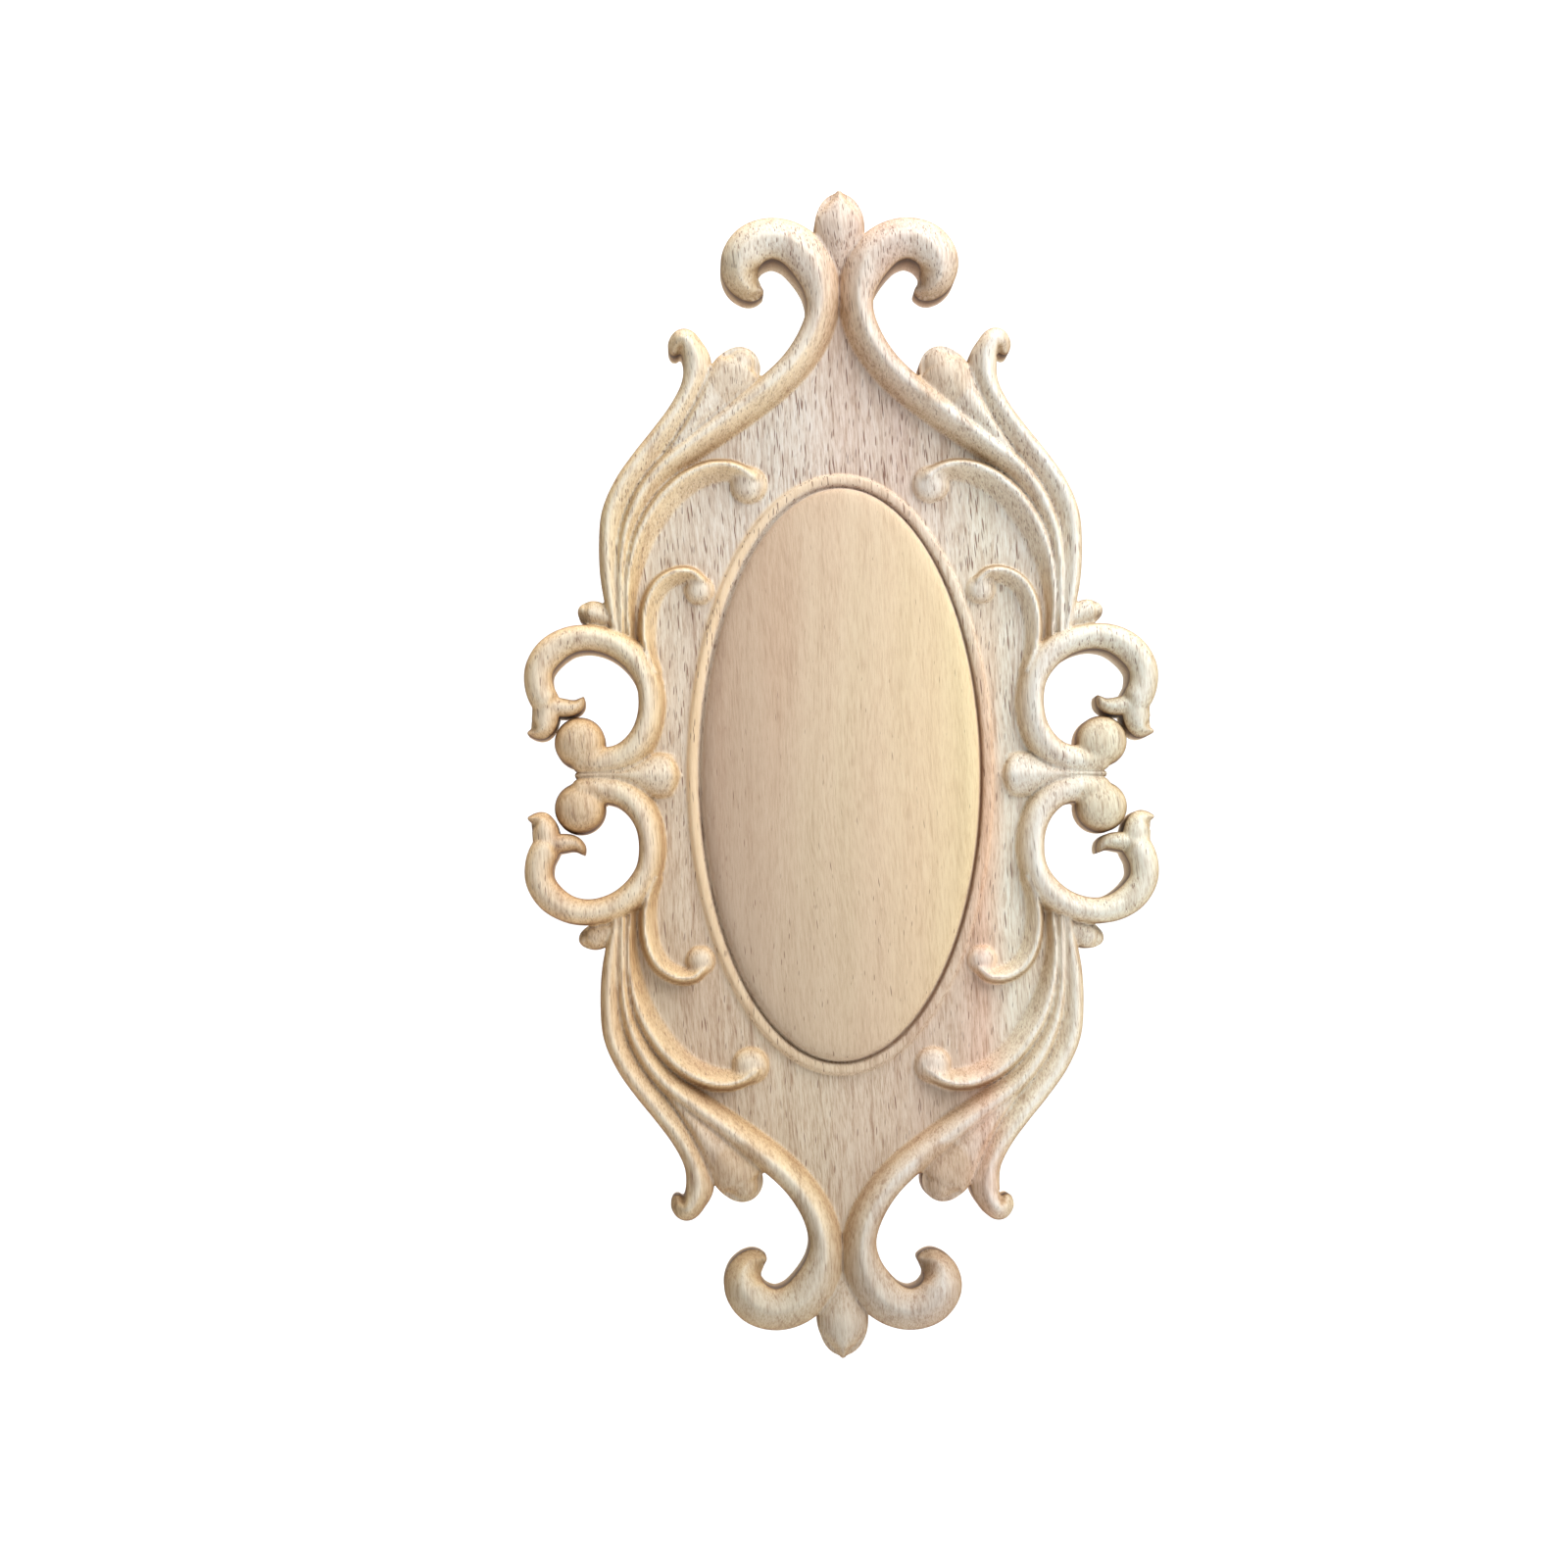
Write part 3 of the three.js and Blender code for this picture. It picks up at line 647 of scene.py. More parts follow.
def mirrored(piece):
    """Adds the other three quarters to a piece."""
    work_on(piece)
    mirror = piece.modifiers.new("other_quarters", "MIRROR")
    mirror.use_axis = (True, False, True)
    mirror.use_clip = True
    mirror.merge_threshold = MERGED_QUARTERS
    bpy.ops.object.modifier_apply(modifier=mirror.name)


def draw_edge_back(piece, step):
    """Extrudes the open edge by a step backwards, or to the plane of the back if there is none."""
    pick(piece, "EDGE", open_edges(piece))
    bpy.ops.mesh.extrude_edges_move()
    bpy.ops.object.mode_set(mode="OBJECT")
    table = places(piece)
    chosen = np.empty(len(table), bool)
    piece.data.vertices.foreach_get("select", chosen)
    table[chosen, 1] = 0.0 if step is None else table[chosen, 1] + step
    set_places(piece, table)


def close_walls(piece):
    """Fills the seam round the oval, draws the outline back to y = 0 and closes the flat back."""
    table = places(piece)
    ends = edge_table(piece)
    middle = (table[ends[:, 0]] + table[ends[:, 1]]) / 2
    seam = np.abs(oval_offset(middle[:, 0], middle[:, 2], OVAL_OPENING)) < SEAM_REACH
    work_on(piece)
    pick(piece, "EDGE", open_edges(piece) & seam)
    bpy.ops.mesh.fill(use_beauty=True)
    bpy.ops.object.mode_set(mode="OBJECT")
    draw_edge_back(piece, WALL_STEP)
    draw_edge_back(piece, None)
    pick(piece, "EDGE", open_edges(piece))
    bpy.ops.mesh.fill(use_beauty=True)
    bpy.ops.mesh.select_all(action="SELECT")
    bpy.ops.mesh.normals_make_consistent(inside=False)
    bpy.ops.object.mode_set(mode="OBJECT")


def carve_applique():
    """The whole relief as one closed mesh."""
    quarter = carve_quarter()
    oval = turn_oval()
    mirrored(quarter)
    mirrored(oval)
    clear_selection()
    oval.select_set(True)
    quarter.select_set(True)
    bpy.context.view_layer.objects.active = quarter
    bpy.ops.object.join()
    close_walls(quarter)
    work_on(quarter)
    bpy.ops.object.shade_smooth_by_angle(angle=CRISP_ANGLE)
    return quarter


# The raster on which the carving's height is averaged: its step, its reach across and up, and the
# turns and the reach in steps of the averaging.
RASTER_STEP = 0.5
RASTER_ACROSS = 58
RASTER_UP = 104
MEAN_TURNS = 3
MEAN_REACH = 4
LEAST_WEIGHT = 0.02

# Where the marks lie, in mm. A band round the oval has its middle, outwards from the medallion's edge,
# the width over which it fades, and how full it is: above 1 its middle is flat. The groove's painted
# shade is darkest on the right, SHADE_TURN below the level middle line, and the bead's painted golden
# light lies opposite.
BEAD_BAND = (1.75, 0.5, 2.4)
GROOVE_BAND = (0.4, 0.36, 1.25)
SHADE_TURN = 0.26
GROOVE_SHADE_POWER = 1.5
LIT_BEAD_POWER = 1.4
OFF_OVAL_START = 2.7
SPOT_REACH = 1.1
MARK_SHARPNESS = 5
HOLLOW_DEPTH = 1.6
CREST_HEIGHT = 1.3
HIGHEST_LOSS = 0.8
SHADE_ON_SPOTS = 0.75
SHADE_ON_BEAD = 0.3


def box_mean(table, reach):
    for axis in (0, 1):
        table = sum(np.roll(table, k, axis) for k in range(-reach, reach + 1)) / (2 * reach + 1)
    return table


def whole_from_quarter(quarter):
    """A raster of one quarter, mirrored to the other three."""
    upper = np.concatenate([quarter[:, :0:-1], quarter], 1)
    return np.concatenate([upper[:0:-1], upper])


def broad_heights():
    """Mean height of the carving round each place, on a raster of the quarter."""
    across = np.arange(0, RASTER_ACROSS, RASTER_STEP)
    up = np.arange(0, RASTER_UP, RASTER_STEP)
    x, z = np.meshgrid(across, up)
    height, outside = carved_form(x.ravel(), z.ravel())
    on = (outside.reshape(x.shape) < 0).astype(float)
    weight = whole_from_quarter(on)
    total = whole_from_quarter(height.reshape(x.shape) * on)
    for _ in range(MEAN_TURNS):
        weight = box_mean(weight, MEAN_REACH)
        total = box_mean(total, MEAN_REACH)
    mean = total / np.maximum(weight, LEAST_WEIGHT)
    return mean[len(up) - 1:, len(across) - 1:]


def raster_value(raster, x, z):
    """Values of the quarter's raster at each place, between the raster's four nearest points."""
    gx = np.clip(np.abs(x) / RASTER_STEP, 0, raster.shape[1] - 1.01)
    gz = np.clip(np.abs(z) / RASTER_STEP, 0, raster.shape[0] - 1.01)
    ix = gx.astype(int)
    iz = gz.astype(int)
    fx = gx - ix
    fz = gz - iz
    lower = raster[iz, ix] * (1 - fx) + raster[iz, ix + 1] * fx
    upper = raster[iz + 1, ix] * (1 - fx) + raster[iz + 1, ix + 1] * fx
    return lower * (1 - fz) + upper * fz


def painted_shade_spots(x, z):
    """1 on the spots where shade is painted in, browner, fading out at their edges."""
    painted_shade = np.zeros(x.size)
    for across, up, radius in SHADE_SPOTS:
        away = np.hypot(np.abs(x) - across, np.abs(z) - up) / radius
        painted_shade = np.maximum(painted_shade, np.clip((SPOT_REACH - away) * MARK_SHARPNESS, 0, 1))
    return painted_shade


def oval_band(edge, middle, fade, fullness):
    """1 along the middle of a band round the oval, falling to 0 on both sides."""
    return np.clip(fullness - np.abs(edge - middle) / fade, 0, 1)


def mark_surface(piece):
    """Values that the wood reads: hollows for painted shade, crests for a painted highlight, steep
    flanks, end grain, painted light and shade on spots, bead and groove, and the medallion.
    """
    table = places(piece)
    x = table[:, 0]
    z = table[:, 2]
    edge = oval_offset(x, z, 0.0)
    relief = np.where(edge < OVAL_OPENING, 0.0, -table[:, 1] - raster_value(broad_heights(), x, z))
    turn = np.arctan2(z / OVAL_UP, x / OVAL_ACROSS)
    shaded = 0.5 + 0.5 * np.cos(turn + SHADE_TURN)
    groove = oval_band(edge, *GROOVE_BAND)
    bead = oval_band(edge, *BEAD_BAND)
    painted_shade = painted_shade_spots(x, z)
    highest = np.clip(relief / 2 - 0.6, 0, 1)
    normals = read_rows(piece.data.vertices, "normal")
    off_oval = np.clip((edge - OFF_OVAL_START) * MARK_SHARPNESS, 0, 1)
    flank = np.clip(1 - np.abs(normals[:, 1]), 0, 1) * off_oval
    marks = {
        # Painted shade in hollows below the carving's mean height.
        "hollow": np.clip(-relief / HOLLOW_DEPTH, 0, 1),
        # Painted highlight on crests above the carving's mean height; crests also thin the vessel
        # lines.
        "crest": np.clip(relief / CREST_HEIGHT, 0, 1) * (1 - painted_shade) * (1 - HIGHEST_LOSS * highest),
        # Painted shade: browner on the spots and on the bead's side away from the light.
        "painted_shade": np.maximum(SHADE_ON_SPOTS * painted_shade, SHADE_ON_BEAD * bead * shaded),
        # Painted light: the bead's side towards the light.
        "lit_bead_gold": bead * (1 - shaded) ** LIT_BEAD_POWER,
        # Painted shade in the groove, deepest on the side away from the light.
        "groove": groove * shaded ** GROOVE_SHADE_POWER,
        "flank": flank,
        # Steep walls facing up or down, for the darker end grain and painted shade.
        "end_grain_and_shade": np.abs(normals[:, 2]) * flank,
        "oval": np.clip(0.5 - edge * 2, 0, 1),
    }
    for name, values in marks.items():
        layer = piece.data.attributes.new(name, "FLOAT", "POINT")
        layer.data.foreach_set("value", values.astype(np.float32))


# Nodes are laid out in rows, in the order in which they are made.
NODE_STEP = 220
NODES_A_ROW = 12


def place_node(tree, kind, **settings):
    place = len(tree.nodes)
    made = tree.nodes.new(kind)
    made.location = (NODE_STEP * (place % NODES_A_ROW), -NODE_STEP * (place // NODES_A_ROW))
    for name, value in settings.items():
        setattr(made, name, value)
    return made


def linear(colour):
    """A colour given as 0 to 255 on screen, as the linear values that shaders use."""
    out = []
    for value in colour:
        v = value / 255
        out.append(v / 12.92 if v <= 0.04045 else ((v + 0.055) / 1.055) ** 2.4)
    return tuple(out)


def feed(tree, socket, value):
    """Sets a socket to a number or a colour on screen, or links another node's output to it."""
    if isinstance(value, (int, float)):
        socket.default_value = value
    elif isinstance(value, tuple):
        socket.default_value = (*linear(value), 1)
    else:
        tree.links.new(value, socket)


def maths(tree, kind, *values, clamp=False):
    made = place_node(tree, "ShaderNodeMath", operation=kind, use_clamp=clamp)
    for socket, value in zip(made.inputs, values):
        feed(tree, socket, value)
    return made.outputs[0]


def times(tree, a, b):
    return maths(tree, "MULTIPLY", a, b)


def straight(tree, value, slope, start, clamp=False):
    """The value times the slope, plus the start."""
    return maths(tree, "MULTIPLY_ADD", value, slope, start, clamp=clamp)


def between(tree, value, start, end):
    """0 up to the start, 1 past the end, and straight between them."""
    slope = 1 / (end - start)
    return straight(tree, value, slope, -start * slope, clamp=True)


def ramp(tree, value, stops):
    """A range of colours on screen, or of plain values. A stop has its place and what is there."""
    made = place_node(tree, "ShaderNodeValToRGB")
    band = made.color_ramp
    while len(band.elements) < len(stops):
        band.elements.new(0.5)
    for element, (place, shade) in zip(band.elements, stops):
        colour = linear(shade) if isinstance(shade, tuple) else (shade, shade, shade)
        element.position = place
        element.color = (*colour, 1)
    tree.links.new(value, made.inputs["Fac"])
    return made.outputs["Color"]


def mixed(tree, share, a, b, kind="MIX"):
    """Colour a, or as far as the share says, colour b."""
    made = place_node(tree, "ShaderNodeMix", data_type="RGBA", blend_type=kind)
    sockets = {socket.identifier: socket for socket in made.inputs}
    feed(tree, sockets["Factor_Float"], share)
    feed(tree, sockets["A_Color"], a)
    feed(tree, sockets["B_Color"], b)
    results = {socket.identifier: socket for socket in made.outputs}
    return results["Result_Color"]


def tinted(tree, colour, tint, share=1.0):
    """A colour multiplied by a tint, as far as the share says."""
    return mixed(tree, share, colour, tint, "MULTIPLY")


# Sizes of the grain's patterns in mm: across, from front to back, and up.
SWAY_SIZE = (26, 26, 60)
SWAY_REACH = 5.0
BROAD_SIZE = (16, 20, 130)
WIDE_STREAK_SIZE = (2.4, 2.4, 50)
FINE_STREAK_SIZE = (0.42, 0.6, 5)
FIBRE_SIZE = (0.2, 0.3, 2.4)
FINE_STREAK_LEAN = 0.07
FIBRE_LEAN = 0.05

# Two layers of vessel lines. Each has the width and length of its cells in mm, a line's radius as
# a share of its cell, and its lean. VESSEL_DEPTH is a cell's depth as a share of its width.
VESSEL_LAYERS = [(0.36, 5.0, 0.36, 0.1), (0.28, 2.8, 0.37, -0.03)]
VESSEL_DEPTH = 1.6
VESSEL_GROWTH = 2.5
VESSEL_SHARPNESS = 9.0


def stretched(tree, source, size, lean=0.0):
    """Places for a pattern of the given size in mm, leaning by an angle."""
    if lean:
        leaning = place_node(tree, "ShaderNodeMapping")
        leaning.inputs["Rotation"].default_value = (0, lean, 0)
        tree.links.new(source, leaning.inputs["Vector"])
        source = leaning.outputs["Vector"]
    made = place_node(tree, "ShaderNodeMapping")
    made.inputs["Scale"].default_value = [1 / side for side in size]
    tree.links.new(source, made.inputs["Vector"])
    return made.outputs["Vector"]


def noise(tree, vector, detail, rough=0.5):
    made = place_node(tree, "ShaderNodeTexNoise")
    made.inputs["Scale"].default_value = 1.0
    made.inputs["Detail"].default_value = detail
    made.inputs["Roughness"].default_value = rough
    tree.links.new(vector, made.inputs["Vector"])
    return made


def swayed(tree, source):
    """Places that sway sideways by up to half of SWAY_REACH, so that the grain isn't straight."""
    sway = noise(tree, stretched(tree, source, SWAY_SIZE), 1.0)
    shift = place_node(tree, "ShaderNodeVectorMath", operation="MULTIPLY_ADD")
    shift.inputs[1].default_value = (SWAY_REACH, 0.0, 0.0)
    shift.inputs[2].default_value = (-SWAY_REACH / 2, 0.0, 0.0)
    tree.links.new(sway.outputs["Color"], shift.inputs[0])
    moved = place_node(tree, "ShaderNodeVectorMath", operation="ADD")
    tree.links.new(source, moved.inputs[0])
    tree.links.new(shift.outputs["Vector"], moved.inputs[1])
    return moved.outputs["Vector"]


def vessel_lines(tree, source, amount):
    """Short dark lines up the grain. The amount says how many of the cells have one."""
    lines = None
    for width, length, radius, lean in VESSEL_LAYERS:
        cells = place_node(tree, "ShaderNodeTexVoronoi")
        cells.inputs["Scale"].default_value = 1.0
        cell_size = (width, width * VESSEL_DEPTH, length)
        tree.links.new(stretched(tree, source, cell_size, lean), cells.inputs["Vector"])
        chance = place_node(tree, "ShaderNodeSeparateColor")
        tree.links.new(cells.outputs["Color"], chance.inputs["Color"])
        size = maths(tree, "SUBTRACT", amount, chance.outputs["Red"])
        size = maths(tree, "MULTIPLY", size, VESSEL_GROWTH, clamp=True)
        inside = maths(tree, "SUBTRACT", times(tree, size, radius), cells.outputs["Distance"])
        mask = maths(tree, "MULTIPLY", inside, VESSEL_SHARPNESS, clamp=True)
        lines = mask if lines is None else maths(tree, "MAXIMUM", lines, mask)
    return lines


def grain_group():
    """Grain that runs up the piece: broad colour, fine streaks, fibres and dark vessel lines."""
    tree = bpy.data.node_groups.new("upright_grain", "ShaderNodeTree")
    face = tree.interface
    face.new_socket(name="Vessels", in_out="INPUT", socket_type="NodeSocketFloat")
    for name in ("Broad", "Across", "Up", "Streaks", "Vessel Lines", "Fuzz"):
        face.new_socket(name=name, in_out="OUTPUT", socket_type="NodeSocketFloat")
    came = place_node(tree, "NodeGroupInput")
    goes = place_node(tree, "NodeGroupOutput")
    where = place_node(tree, "ShaderNodeTexCoord")
    bent = swayed(tree, stretched(tree, where.outputs["Object"], (MM, MM, MM)))

    apart = place_node(tree, "ShaderNodeSeparateXYZ")
    tree.links.new(bent, apart.inputs["Vector"])
    broad = noise(tree, stretched(tree, bent, BROAD_SIZE), 2.0)
    wide = noise(tree, stretched(tree, bent, WIDE_STREAK_SIZE), 3.0, 0.6)
    fine = noise(tree, stretched(tree, bent, FINE_STREAK_SIZE, FINE_STREAK_LEAN), 2.0, 0.6)
    streaks = straight(tree, fine.outputs["Fac"], 0.5, times(tree, wide.outputs["Fac"], 0.5))
    fuzz = noise(tree, stretched(tree, bent, FIBRE_SIZE, FIBRE_LEAN), 3.0, 0.65)
    results = {
        "Broad": broad.outputs["Fac"],
        "Across": apart.outputs["X"],
        "Up": apart.outputs["Z"],
        "Streaks": streaks,
        "Vessel Lines": vessel_lines(tree, bent, came.outputs["Vessels"]),
        "Fuzz": fuzz.outputs["Fac"],
    }
    for name, result in results.items():
        tree.links.new(result, goes.inputs[name])
    return tree


# Colours of the board, from the left edge (0) to the right edge (1). The ground has one range for
# its lower and one for its upper part. A change runs from one height in mm to another, and for
# the pink band from one distance from the middle to another.
BOARD_WIDTH = 110
GROUND_CHANGE = (-32, 48)
MEDALLION_CHANGE = (-41.25, 13.75)
PINK_CHANGE = (42, 7)
LOW_SCROLL_CHANGE = (-60, -85)
UPPER_GROUND = [
    (0.0, (240, 228, 209)), (0.15, (243, 233, 217)), (0.25, (241, 237, 226)), (0.4, (240, 241, 236)),
    (0.5, (234, 222, 213)), (0.6, (232, 217, 209)), (0.7, (243, 237, 230)), (0.8, (244, 243, 238)),
    (1.0, (243, 242, 234)),
]
LOWER_GROUND = [
    (0.0, (230, 214, 190)), (0.14, (228, 209, 182)), (0.22, (219, 206, 185)), (0.3, (218, 203, 183)),
    (0.5, (220, 206, 188)), (0.68, (225, 207, 193)), (0.725, (237, 211, 195)),
    (0.765, (249, 250, 238)), (1.0, (238, 234, 222)),
]
PINK_BAND = [(0.695, 0.0), (0.72, 1.0), (0.74, 1.0), (0.76, 0.0)]
PINK_TINT = (250, 234, 224)
# The medallion's wood, darker towards its left as painted shade away from the light; the tint after it
# darkens the medallion's lower part, painted shade too.
MEDALLION_SHADED_LEFT = [
    (0.28, (197, 175, 154)), (0.4, (215, 194, 170)), (0.55, (227, 205, 178)), (0.7, (236, 214, 177)),
]
LOW_MEDALLION_SHADE = [(0.3, (235, 234, 234)), (0.7, (252, 252, 252))]

# Tints by the grain's patterns, from their low to their high values.
BROAD_TINT = [(0.25, (243, 229, 222)), (0.5, (255, 253, 250)), (0.75, (250, 255, 246))]
STREAK_TINT = [(0.34, (204, 186, 176)), (0.47, (243, 238, 234)), (0.6, (255, 255, 255))]
FIBRE_TINT = [(0.36, (218, 202, 190)), (0.5, (247, 243, 238)), (0.62, (255, 255, 255))]
VESSEL_BROWN = (132, 97, 82)

# How strongly the patterns show, and how much less so on the medallion.
BROAD_SHARE = 0.8
BROAD_LOSS_ON_OVAL = 0.1
FINE_SHARE = 0.85
FINE_LOSS_ON_OVAL = 0.45

# Tints of the carving: a painted highlight on the crests, the flanks from slight to steep (darker cut
# wood and painted shade), painted light on the left side's flanks, end grain (darker wood and painted
# shade), painted shade in hollows and on the browner spots, painted light on the lit bead, and painted
# shade in the groove and on the lowest scrolls.
PALE_STREAKS = [(0.38, 0.0), (0.58, 1.0)]
CREST_HIGHLIGHT_TONE = [(0.0, (251, 238, 212)), (0.42, (250, 240, 218)), (0.6, (247, 245, 238))]
FLANK_WOOD_AND_SHADE_TINT = [
    (0.08, (255, 255, 255)), (0.25, (252, 246, 237)), (0.42, (240, 227, 207)), (0.7, (213, 189, 158)),
    (0.97, (126, 98, 70)),
]
LEFT_SIDE = [(0.38, 1.0), (0.54, 0.0)]
SLOPING = [(0.04, 0.0), (0.28, 1.0)]
LEFT_FLANK_LIGHT_TINT = (255, 249, 236)
END_GRAIN_AND_SHADE_TINT = [(0.3, (255, 255, 255)), (0.85, (146, 117, 78))]
HOLLOW_SHADE_BROWN = (196, 158, 118)
PAINTED_SHADE_TINT = (246, 237, 224)
LIT_BEAD_GOLD = (249, 218, 174)
GROOVE_SHADE_BROWN = (128, 92, 62)
LOW_SCROLL_SHADE = (236, 240, 241)

# How strongly the carving's tints, with their painted light and shade, show.
CREST_HIGHLIGHT_SHARE = 0.2
CREST_HIGHLIGHT_STREAK_SHARE = 0.42
HOLLOW_SHADE_SHARE = 0.1
LIT_BEAD_SHARE = 0.7
GROOVE_SHADE_SHARE = 0.85

# How strongly the vessel lines show, and their losses on crests and browner spots. Their number
# rises with the height in metres, and falls on the medallion by a base and with the height.
VESSEL_SHARE = 0.9
VESSEL_LOSS_ON_CREST = 0.3
VESSEL_LOSS_ON_SPOTS = 0.45
MORE_VESSELS_UP = 1.6
FEWER_ON_OVAL = 0.2
FEWER_ON_OVAL_UP = 3.0

# The surface: its roughness, its shine, and how far lines sink and fibres and streaks rise, as
# shares of the bump's depth in metres.
ROUGHNESS = 0.55
FIBRE_ROUGHNESS = 0.25
SHINE = 0.28
VESSEL_RISE = -0.6
FIBRE_RISE = 0.35
STREAK_RISE = 0.3
BUMP_STRENGTH = 0.5
BUMP_DEPTH = 0.00025


def mark(tree, label):
    return place_node(tree, "ShaderNodeAttribute", attribute_name=label).outputs["Fac"]


def vessel_amount(tree, base):
    """More vessel lines towards the top of the board, and few on the medallion."""
    where = place_node(tree, "ShaderNodeTexCoord")
    split = place_node(tree, "ShaderNodeSeparateXYZ")
    tree.links.new(where.outputs["Object"], split.inputs["Vector"])
    more_up = straight(tree, split.outputs["Z"], MORE_VESSELS_UP, base)
    fewer = straight(tree, split.outputs["Z"], FEWER_ON_OVAL_UP, FEWER_ON_OVAL)
    return maths(tree, "SUBTRACT", more_up, times(tree, mark(tree, "oval"), fewer))


def board_colour(tree, figure, across):
    """The board before it is carved: its ground, the medallion's wood with painted shade towards its
    left and its lower part, and their streaks.
    """
    up = figure.outputs["Up"]
    oval = mark(tree, "oval")
    upper = ramp(tree, across, UPPER_GROUND)
    lower = ramp(tree, across, LOWER_GROUND)
    ground = mixed(tree, between(tree, up, *GROUND_CHANGE), lower, upper)
    near_middle = between(tree, maths(tree, "ABSOLUTE", up), *PINK_CHANGE)
    pink = times(tree, ramp(tree, across, PINK_BAND), near_middle)
    ground = tinted(tree, ground, PINK_TINT, pink)

    medallion = ramp(tree, across, MEDALLION_SHADED_LEFT)
    shaded_low_medallion = tinted(tree, medallion, ramp(tree, across, LOW_MEDALLION_SHADE))
    medallion = mixed(tree, between(tree, up, *MEDALLION_CHANGE), shaded_low_medallion, medallion)
    colour = mixed(tree, oval, ground, medallion)

    broad = ramp(tree, figure.outputs["Broad"], BROAD_TINT)
    streaks = ramp(tree, figure.outputs["Streaks"], STREAK_TINT)
    fibres = ramp(tree, figure.outputs["Fuzz"], FIBRE_TINT)
    colour = tinted(tree, colour, broad, straight(tree, oval, -BROAD_LOSS_ON_OVAL, BROAD_SHARE))
    fine_share = straight(tree, oval, -FINE_LOSS_ON_OVAL, FINE_SHARE)
    colour = tinted(tree, colour, streaks, fine_share)
    return tinted(tree, colour, fibres, fine_share)


def carved_colour(tree, figure, across, colour):
    """Crests paler by a painted highlight, flanks and end grain browner partly by painted shade,
    painted shade in hollows, on spots and on the lowest scrolls, painted light on the left flanks, and
    the bead and groove round the medallion in painted light and shade.
    """
    flank = mark(tree, "flank")
    # Painted highlight: crests are made paler, more so along pale streaks.
    pale = ramp(tree, figure.outputs["Streaks"], PALE_STREAKS)
    paler = straight(tree, pale, CREST_HIGHLIGHT_STREAK_SHARE, CREST_HIGHLIGHT_SHARE)
    paler = times(tree, paler, mark(tree, "crest"))
    colour = mixed(tree, paler, colour, ramp(tree, across, CREST_HIGHLIGHT_TONE))
    # Flanks darker from slight to steep: partly the darker cut wood of the flanks, partly painted
    # shade.
    colour = tinted(tree, colour, ramp(tree, flank, FLANK_WOOD_AND_SHADE_TINT))
    # Painted light: the flanks on the left side, which face the light from the right, are tinted
    # warmer and golden.
    lit_left_flanks = times(tree, ramp(tree, across, LEFT_SIDE), ramp(tree, flank, SLOPING))
    colour = tinted(tree, colour, LEFT_FLANK_LIGHT_TINT, lit_left_flanks)
    # End grain darker: partly the wood's darker end grain, partly painted shade on the walls.
    colour = tinted(tree, colour, ramp(tree, mark(tree, "end_grain_and_shade"), END_GRAIN_AND_SHADE_TINT))
    # Painted shade: hollows below the carving's mean height turn brown.
    colour = mixed(tree, times(tree, mark(tree, "hollow"), HOLLOW_SHADE_SHARE), colour, HOLLOW_SHADE_BROWN)
    # Painted shade, browner, on the spots and on the bead's shaded side.
    colour = tinted(tree, colour, PAINTED_SHADE_TINT, mark(tree, "painted_shade"))
    # Painted light: the bead's side towards the light is made golden and bright.
    colour = mixed(tree, times(tree, mark(tree, "lit_bead_gold"), LIT_BEAD_SHARE), colour, LIT_BEAD_GOLD)
    # Painted shade: the lowest scrolls are dimmed, as the light comes from above.
    lowest = between(tree, figure.outputs["Up"], *LOW_SCROLL_CHANGE)
    colour = tinted(tree, colour, LOW_SCROLL_SHADE, lowest)
    # Painted shade in the groove round the medallion, darkest away from the light.
    return mixed(tree, times(tree, mark(tree, "groove"), GROOVE_SHADE_SHARE), colour, GROOVE_SHADE_BROWN)


def with_vessel_lines(tree, figure, colour):
    """Adds the vessel lines, fainter on crests, flanks and the spots of painted shade."""
    lost = straight(tree, mark(tree, "painted_shade"), VESSEL_LOSS_ON_SPOTS, mark(tree, "flank"))
    kept = straight(tree, mark(tree, "crest"), -VESSEL_LOSS_ON_CREST, VESSEL_SHARE)
    strength = maths(tree, "SUBTRACT", kept, lost, clamp=True)
    lines = times(tree, figure.outputs["Vessel Lines"], strength)
    return mixed(tree, lines, colour, VESSEL_BROWN)


def fibre_bump(tree, figure):
    """Normals for raised fibres and for vessel lines that are open pores."""
    rise = times(tree, figure.outputs["Vessel Lines"], VESSEL_RISE)
    rise = straight(tree, figure.outputs["Fuzz"], FIBRE_RISE, rise)
    rise = straight(tree, figure.outputs["Streaks"], STREAK_RISE, rise)
    bump = place_node(tree, "ShaderNodeBump")
    bump.inputs["Strength"].default_value = BUMP_STRENGTH
    bump.inputs["Distance"].default_value = BUMP_DEPTH
    tree.links.new(rise, bump.inputs["Height"])
    return bump.outputs["Normal"]


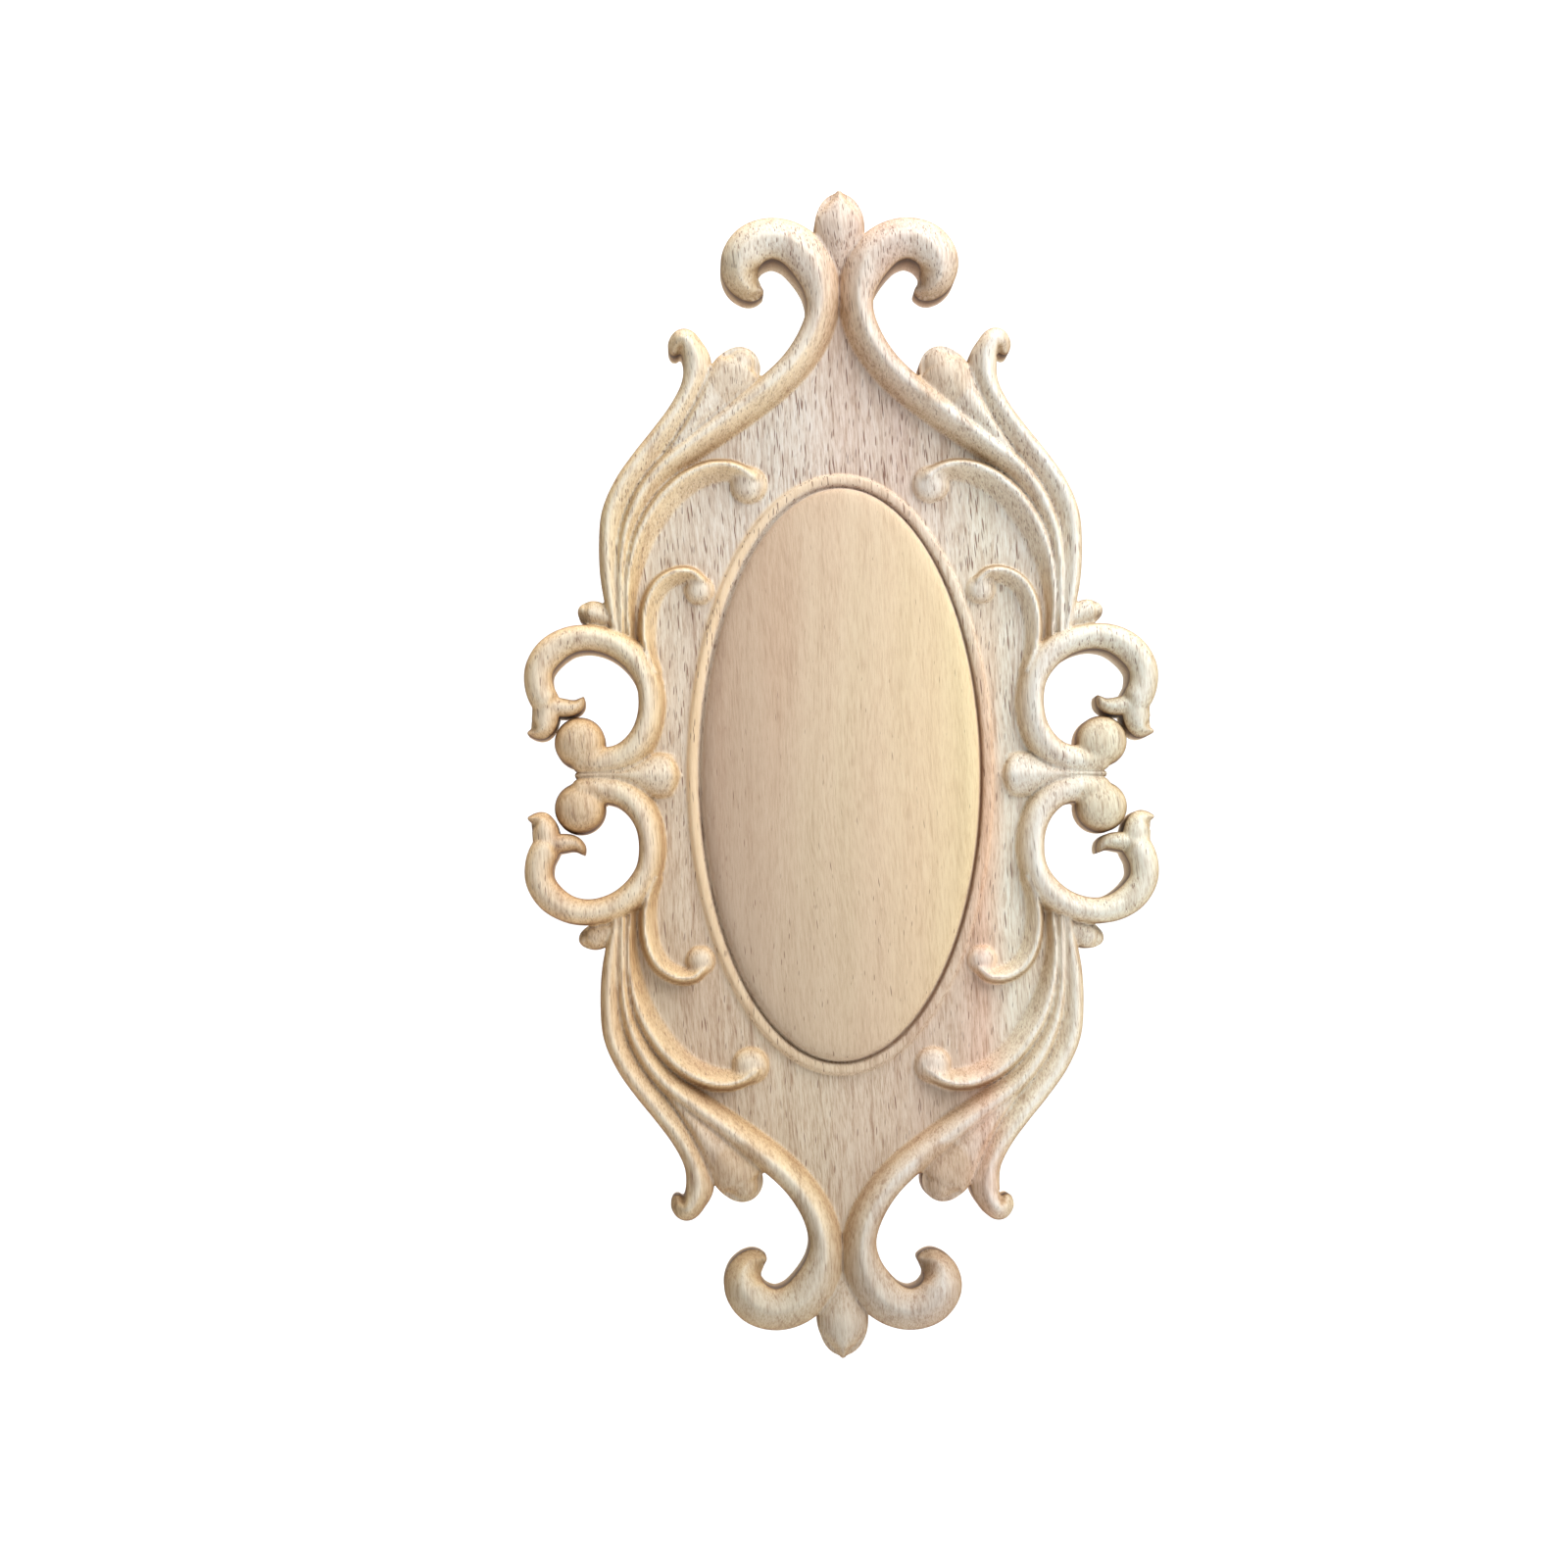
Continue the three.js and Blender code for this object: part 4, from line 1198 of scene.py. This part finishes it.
def wood(name, grain, vessels, carved):
    """Bare pale wood. The carved front also takes the tints of the carving, with their painted light
    and shade.
    """
    made = bpy.data.materials.new(name)
    made.use_nodes = True
    tree = made.node_tree
    tree.nodes.clear()
    figure = place_node(tree, "ShaderNodeGroup", node_tree=grain)
    tree.links.new(vessel_amount(tree, vessels), figure.inputs["Vessels"])
    across = straight(tree, figure.outputs["Across"], 1 / BOARD_WIDTH, 0.5)
    colour = board_colour(tree, figure, across)
    if carved:
        colour = carved_colour(tree, figure, across, colour)
    colour = with_vessel_lines(tree, figure, colour)
    rough = straight(tree, figure.outputs["Fuzz"], FIBRE_ROUGHNESS, ROUGHNESS)
    normal = fibre_bump(tree, figure)

    shader = place_node(tree, "ShaderNodeBsdfPrincipled")
    shader.inputs["Specular IOR Level"].default_value = SHINE
    tree.links.new(colour, shader.inputs["Base Color"])
    tree.links.new(rough, shader.inputs["Roughness"])
    tree.links.new(normal, shader.inputs["Normal"])
    out = place_node(tree, "ShaderNodeOutputMaterial")
    tree.links.new(shader.outputs["BSDF"], out.inputs["Surface"])
    return made


# How many vessel lines the front and the back have, and how near y = 0 a face of the back lies.
FRONT_VESSELS = 0.44
BACK_VESSELS = 0.3
BACK_REACH = 0.00001


def dress(piece):
    """Carved wood on the front and the walls, planed wood on the back."""
    grain = grain_group()
    piece.data.materials.clear()
    piece.data.materials.append(wood("pale_carved_wood", grain, FRONT_VESSELS, True))
    piece.data.materials.append(wood("planed_back", grain, BACK_VESSELS, False))
    behind = read_rows(piece.data.polygons, "center")[:, 1] > -BACK_REACH
    piece.data.polygons.foreach_set("material_index", behind.astype(np.int32))
    piece.data.update()


# The backdrop, in metres: its width, the length of its run, its floor, the radius of its bend,
# where the floor starts and how low it lies.
BACKDROP_WIDTH = 7.0
BACKDROP_RUN = 3.4
FLOOR_LENGTH = 1.5
BEND_RADIUS = 0.35
FLOOR_START = -1.2
FLOOR_LEVEL = -0.42

# Each light has its place, what it is aimed at, its size in metres and its power in watts.
LIGHTS = {
    "soft_key": ((0.38, -0.38, 0.42), (0.0, 0.0, 0.0), 0.5, 4.9),
    "backdrop_light": ((0.0, 0.12, 1.3), (0.0, 0.6, 0.0), 1.2, 27.0),
}
PAPER_WHITE = (0.93, 0.93, 0.93, 1)
PAPER_ROUGHNESS = 0.9
ROOM_WHITE = (0.95, 0.98, 1.0, 1)
ROOM_STRENGTH = 0.2


def pale_backdrop():
    """A pale floor that curves up into a pale wall."""
    clear_selection()
    bpy.ops.mesh.primitive_grid_add(x_subdivisions=2, y_subdivisions=40, size=1)
    backdrop = bpy.context.active_object
    backdrop.name = "pale_backdrop"
    table = read_rows(backdrop.data.vertices, "co")
    run = (table[:, 1] + 0.5) * BACKDROP_RUN
    bend_length = BEND_RADIUS * math.pi / 2
    angle = np.clip((run - FLOOR_LENGTH) / BEND_RADIUS, 0, math.pi / 2)
    y = FLOOR_START + np.minimum(run, FLOOR_LENGTH) + BEND_RADIUS * np.sin(angle)
    z = FLOOR_LEVEL + BEND_RADIUS * (1 - np.cos(angle))
    z += np.maximum(run - FLOOR_LENGTH - bend_length, 0)
    table = np.stack([table[:, 0] * BACKDROP_WIDTH, y, z], 1)
    backdrop.data.vertices.foreach_set("co", table.ravel())
    backdrop.data.update()
    work_on(backdrop)
    bpy.ops.object.shade_smooth()
    paper = bpy.data.materials.new("pale_paper")
    paper.use_nodes = True
    shader = paper.node_tree.nodes["Principled BSDF"]
    shader.inputs["Base Color"].default_value = PAPER_WHITE
    shader.inputs["Roughness"].default_value = PAPER_ROUGHNESS
    backdrop.data.materials.append(paper)
    return backdrop


def studio():
    """A soft light from the upper right, a light on the backdrop and a weak fill from all round."""
    backdrop = pale_backdrop()
    for name, (place, aim, size, power) in LIGHTS.items():
        bpy.ops.object.light_add(type="AREA", location=place)
        lamp = bpy.context.active_object
        lamp.name = name
        lamp.data.shape = "SQUARE"
        lamp.data.size = size
        lamp.data.energy = power
        lamp.rotation_euler = (Vector(aim) - lamp.location).to_track_quat("-Z", "Y").to_euler()
    world = bpy.data.worlds.new("pale_room")
    bpy.context.scene.world = world
    world.use_nodes = True
    world.node_tree.nodes["Background"].inputs["Color"].default_value = ROOM_WHITE
    world.node_tree.nodes["Background"].inputs["Strength"].default_value = ROOM_STRENGTH
    bpy.context.scene.view_settings.view_transform = "Standard"


# The camera stands square to the board, left of and below its middle, and is turned a little about
# its own axis. The lens and the sensor are in mm, and the shifts are shares of the picture.
CAMERA_PLACE = (-0.0263, -0.457, -0.0351)
CAMERA_ROLL = math.radians(0.2)
CAMERA_LENS = 60.6
CAMERA_SENSOR = 36
CAMERA_SHIFT_X = 0.0614
CAMERA_SHIFT_Y = 0.1253
CAMERA_NEAR = 0.01


def photo_camera():
    turned = (math.pi / 2, CAMERA_ROLL, 0)
    bpy.ops.object.camera_add(location=CAMERA_PLACE, rotation=turned)
    camera = bpy.context.active_object
    camera.name = "photo_camera"
    camera.data.sensor_width = CAMERA_SENSOR
    camera.data.lens = CAMERA_LENS
    camera.data.shift_x = CAMERA_SHIFT_X
    camera.data.shift_y = CAMERA_SHIFT_Y
    camera.data.clip_start = CAMERA_NEAR
    bpy.context.scene.camera = camera


photo_camera()
studio()
applique = carve_applique()
mark_surface(applique)
dress(applique)
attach(applique, "root")
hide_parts("carved_applique")

print("triangles", sum(len(p.vertices) - 2 for p in applique.data.polygons))
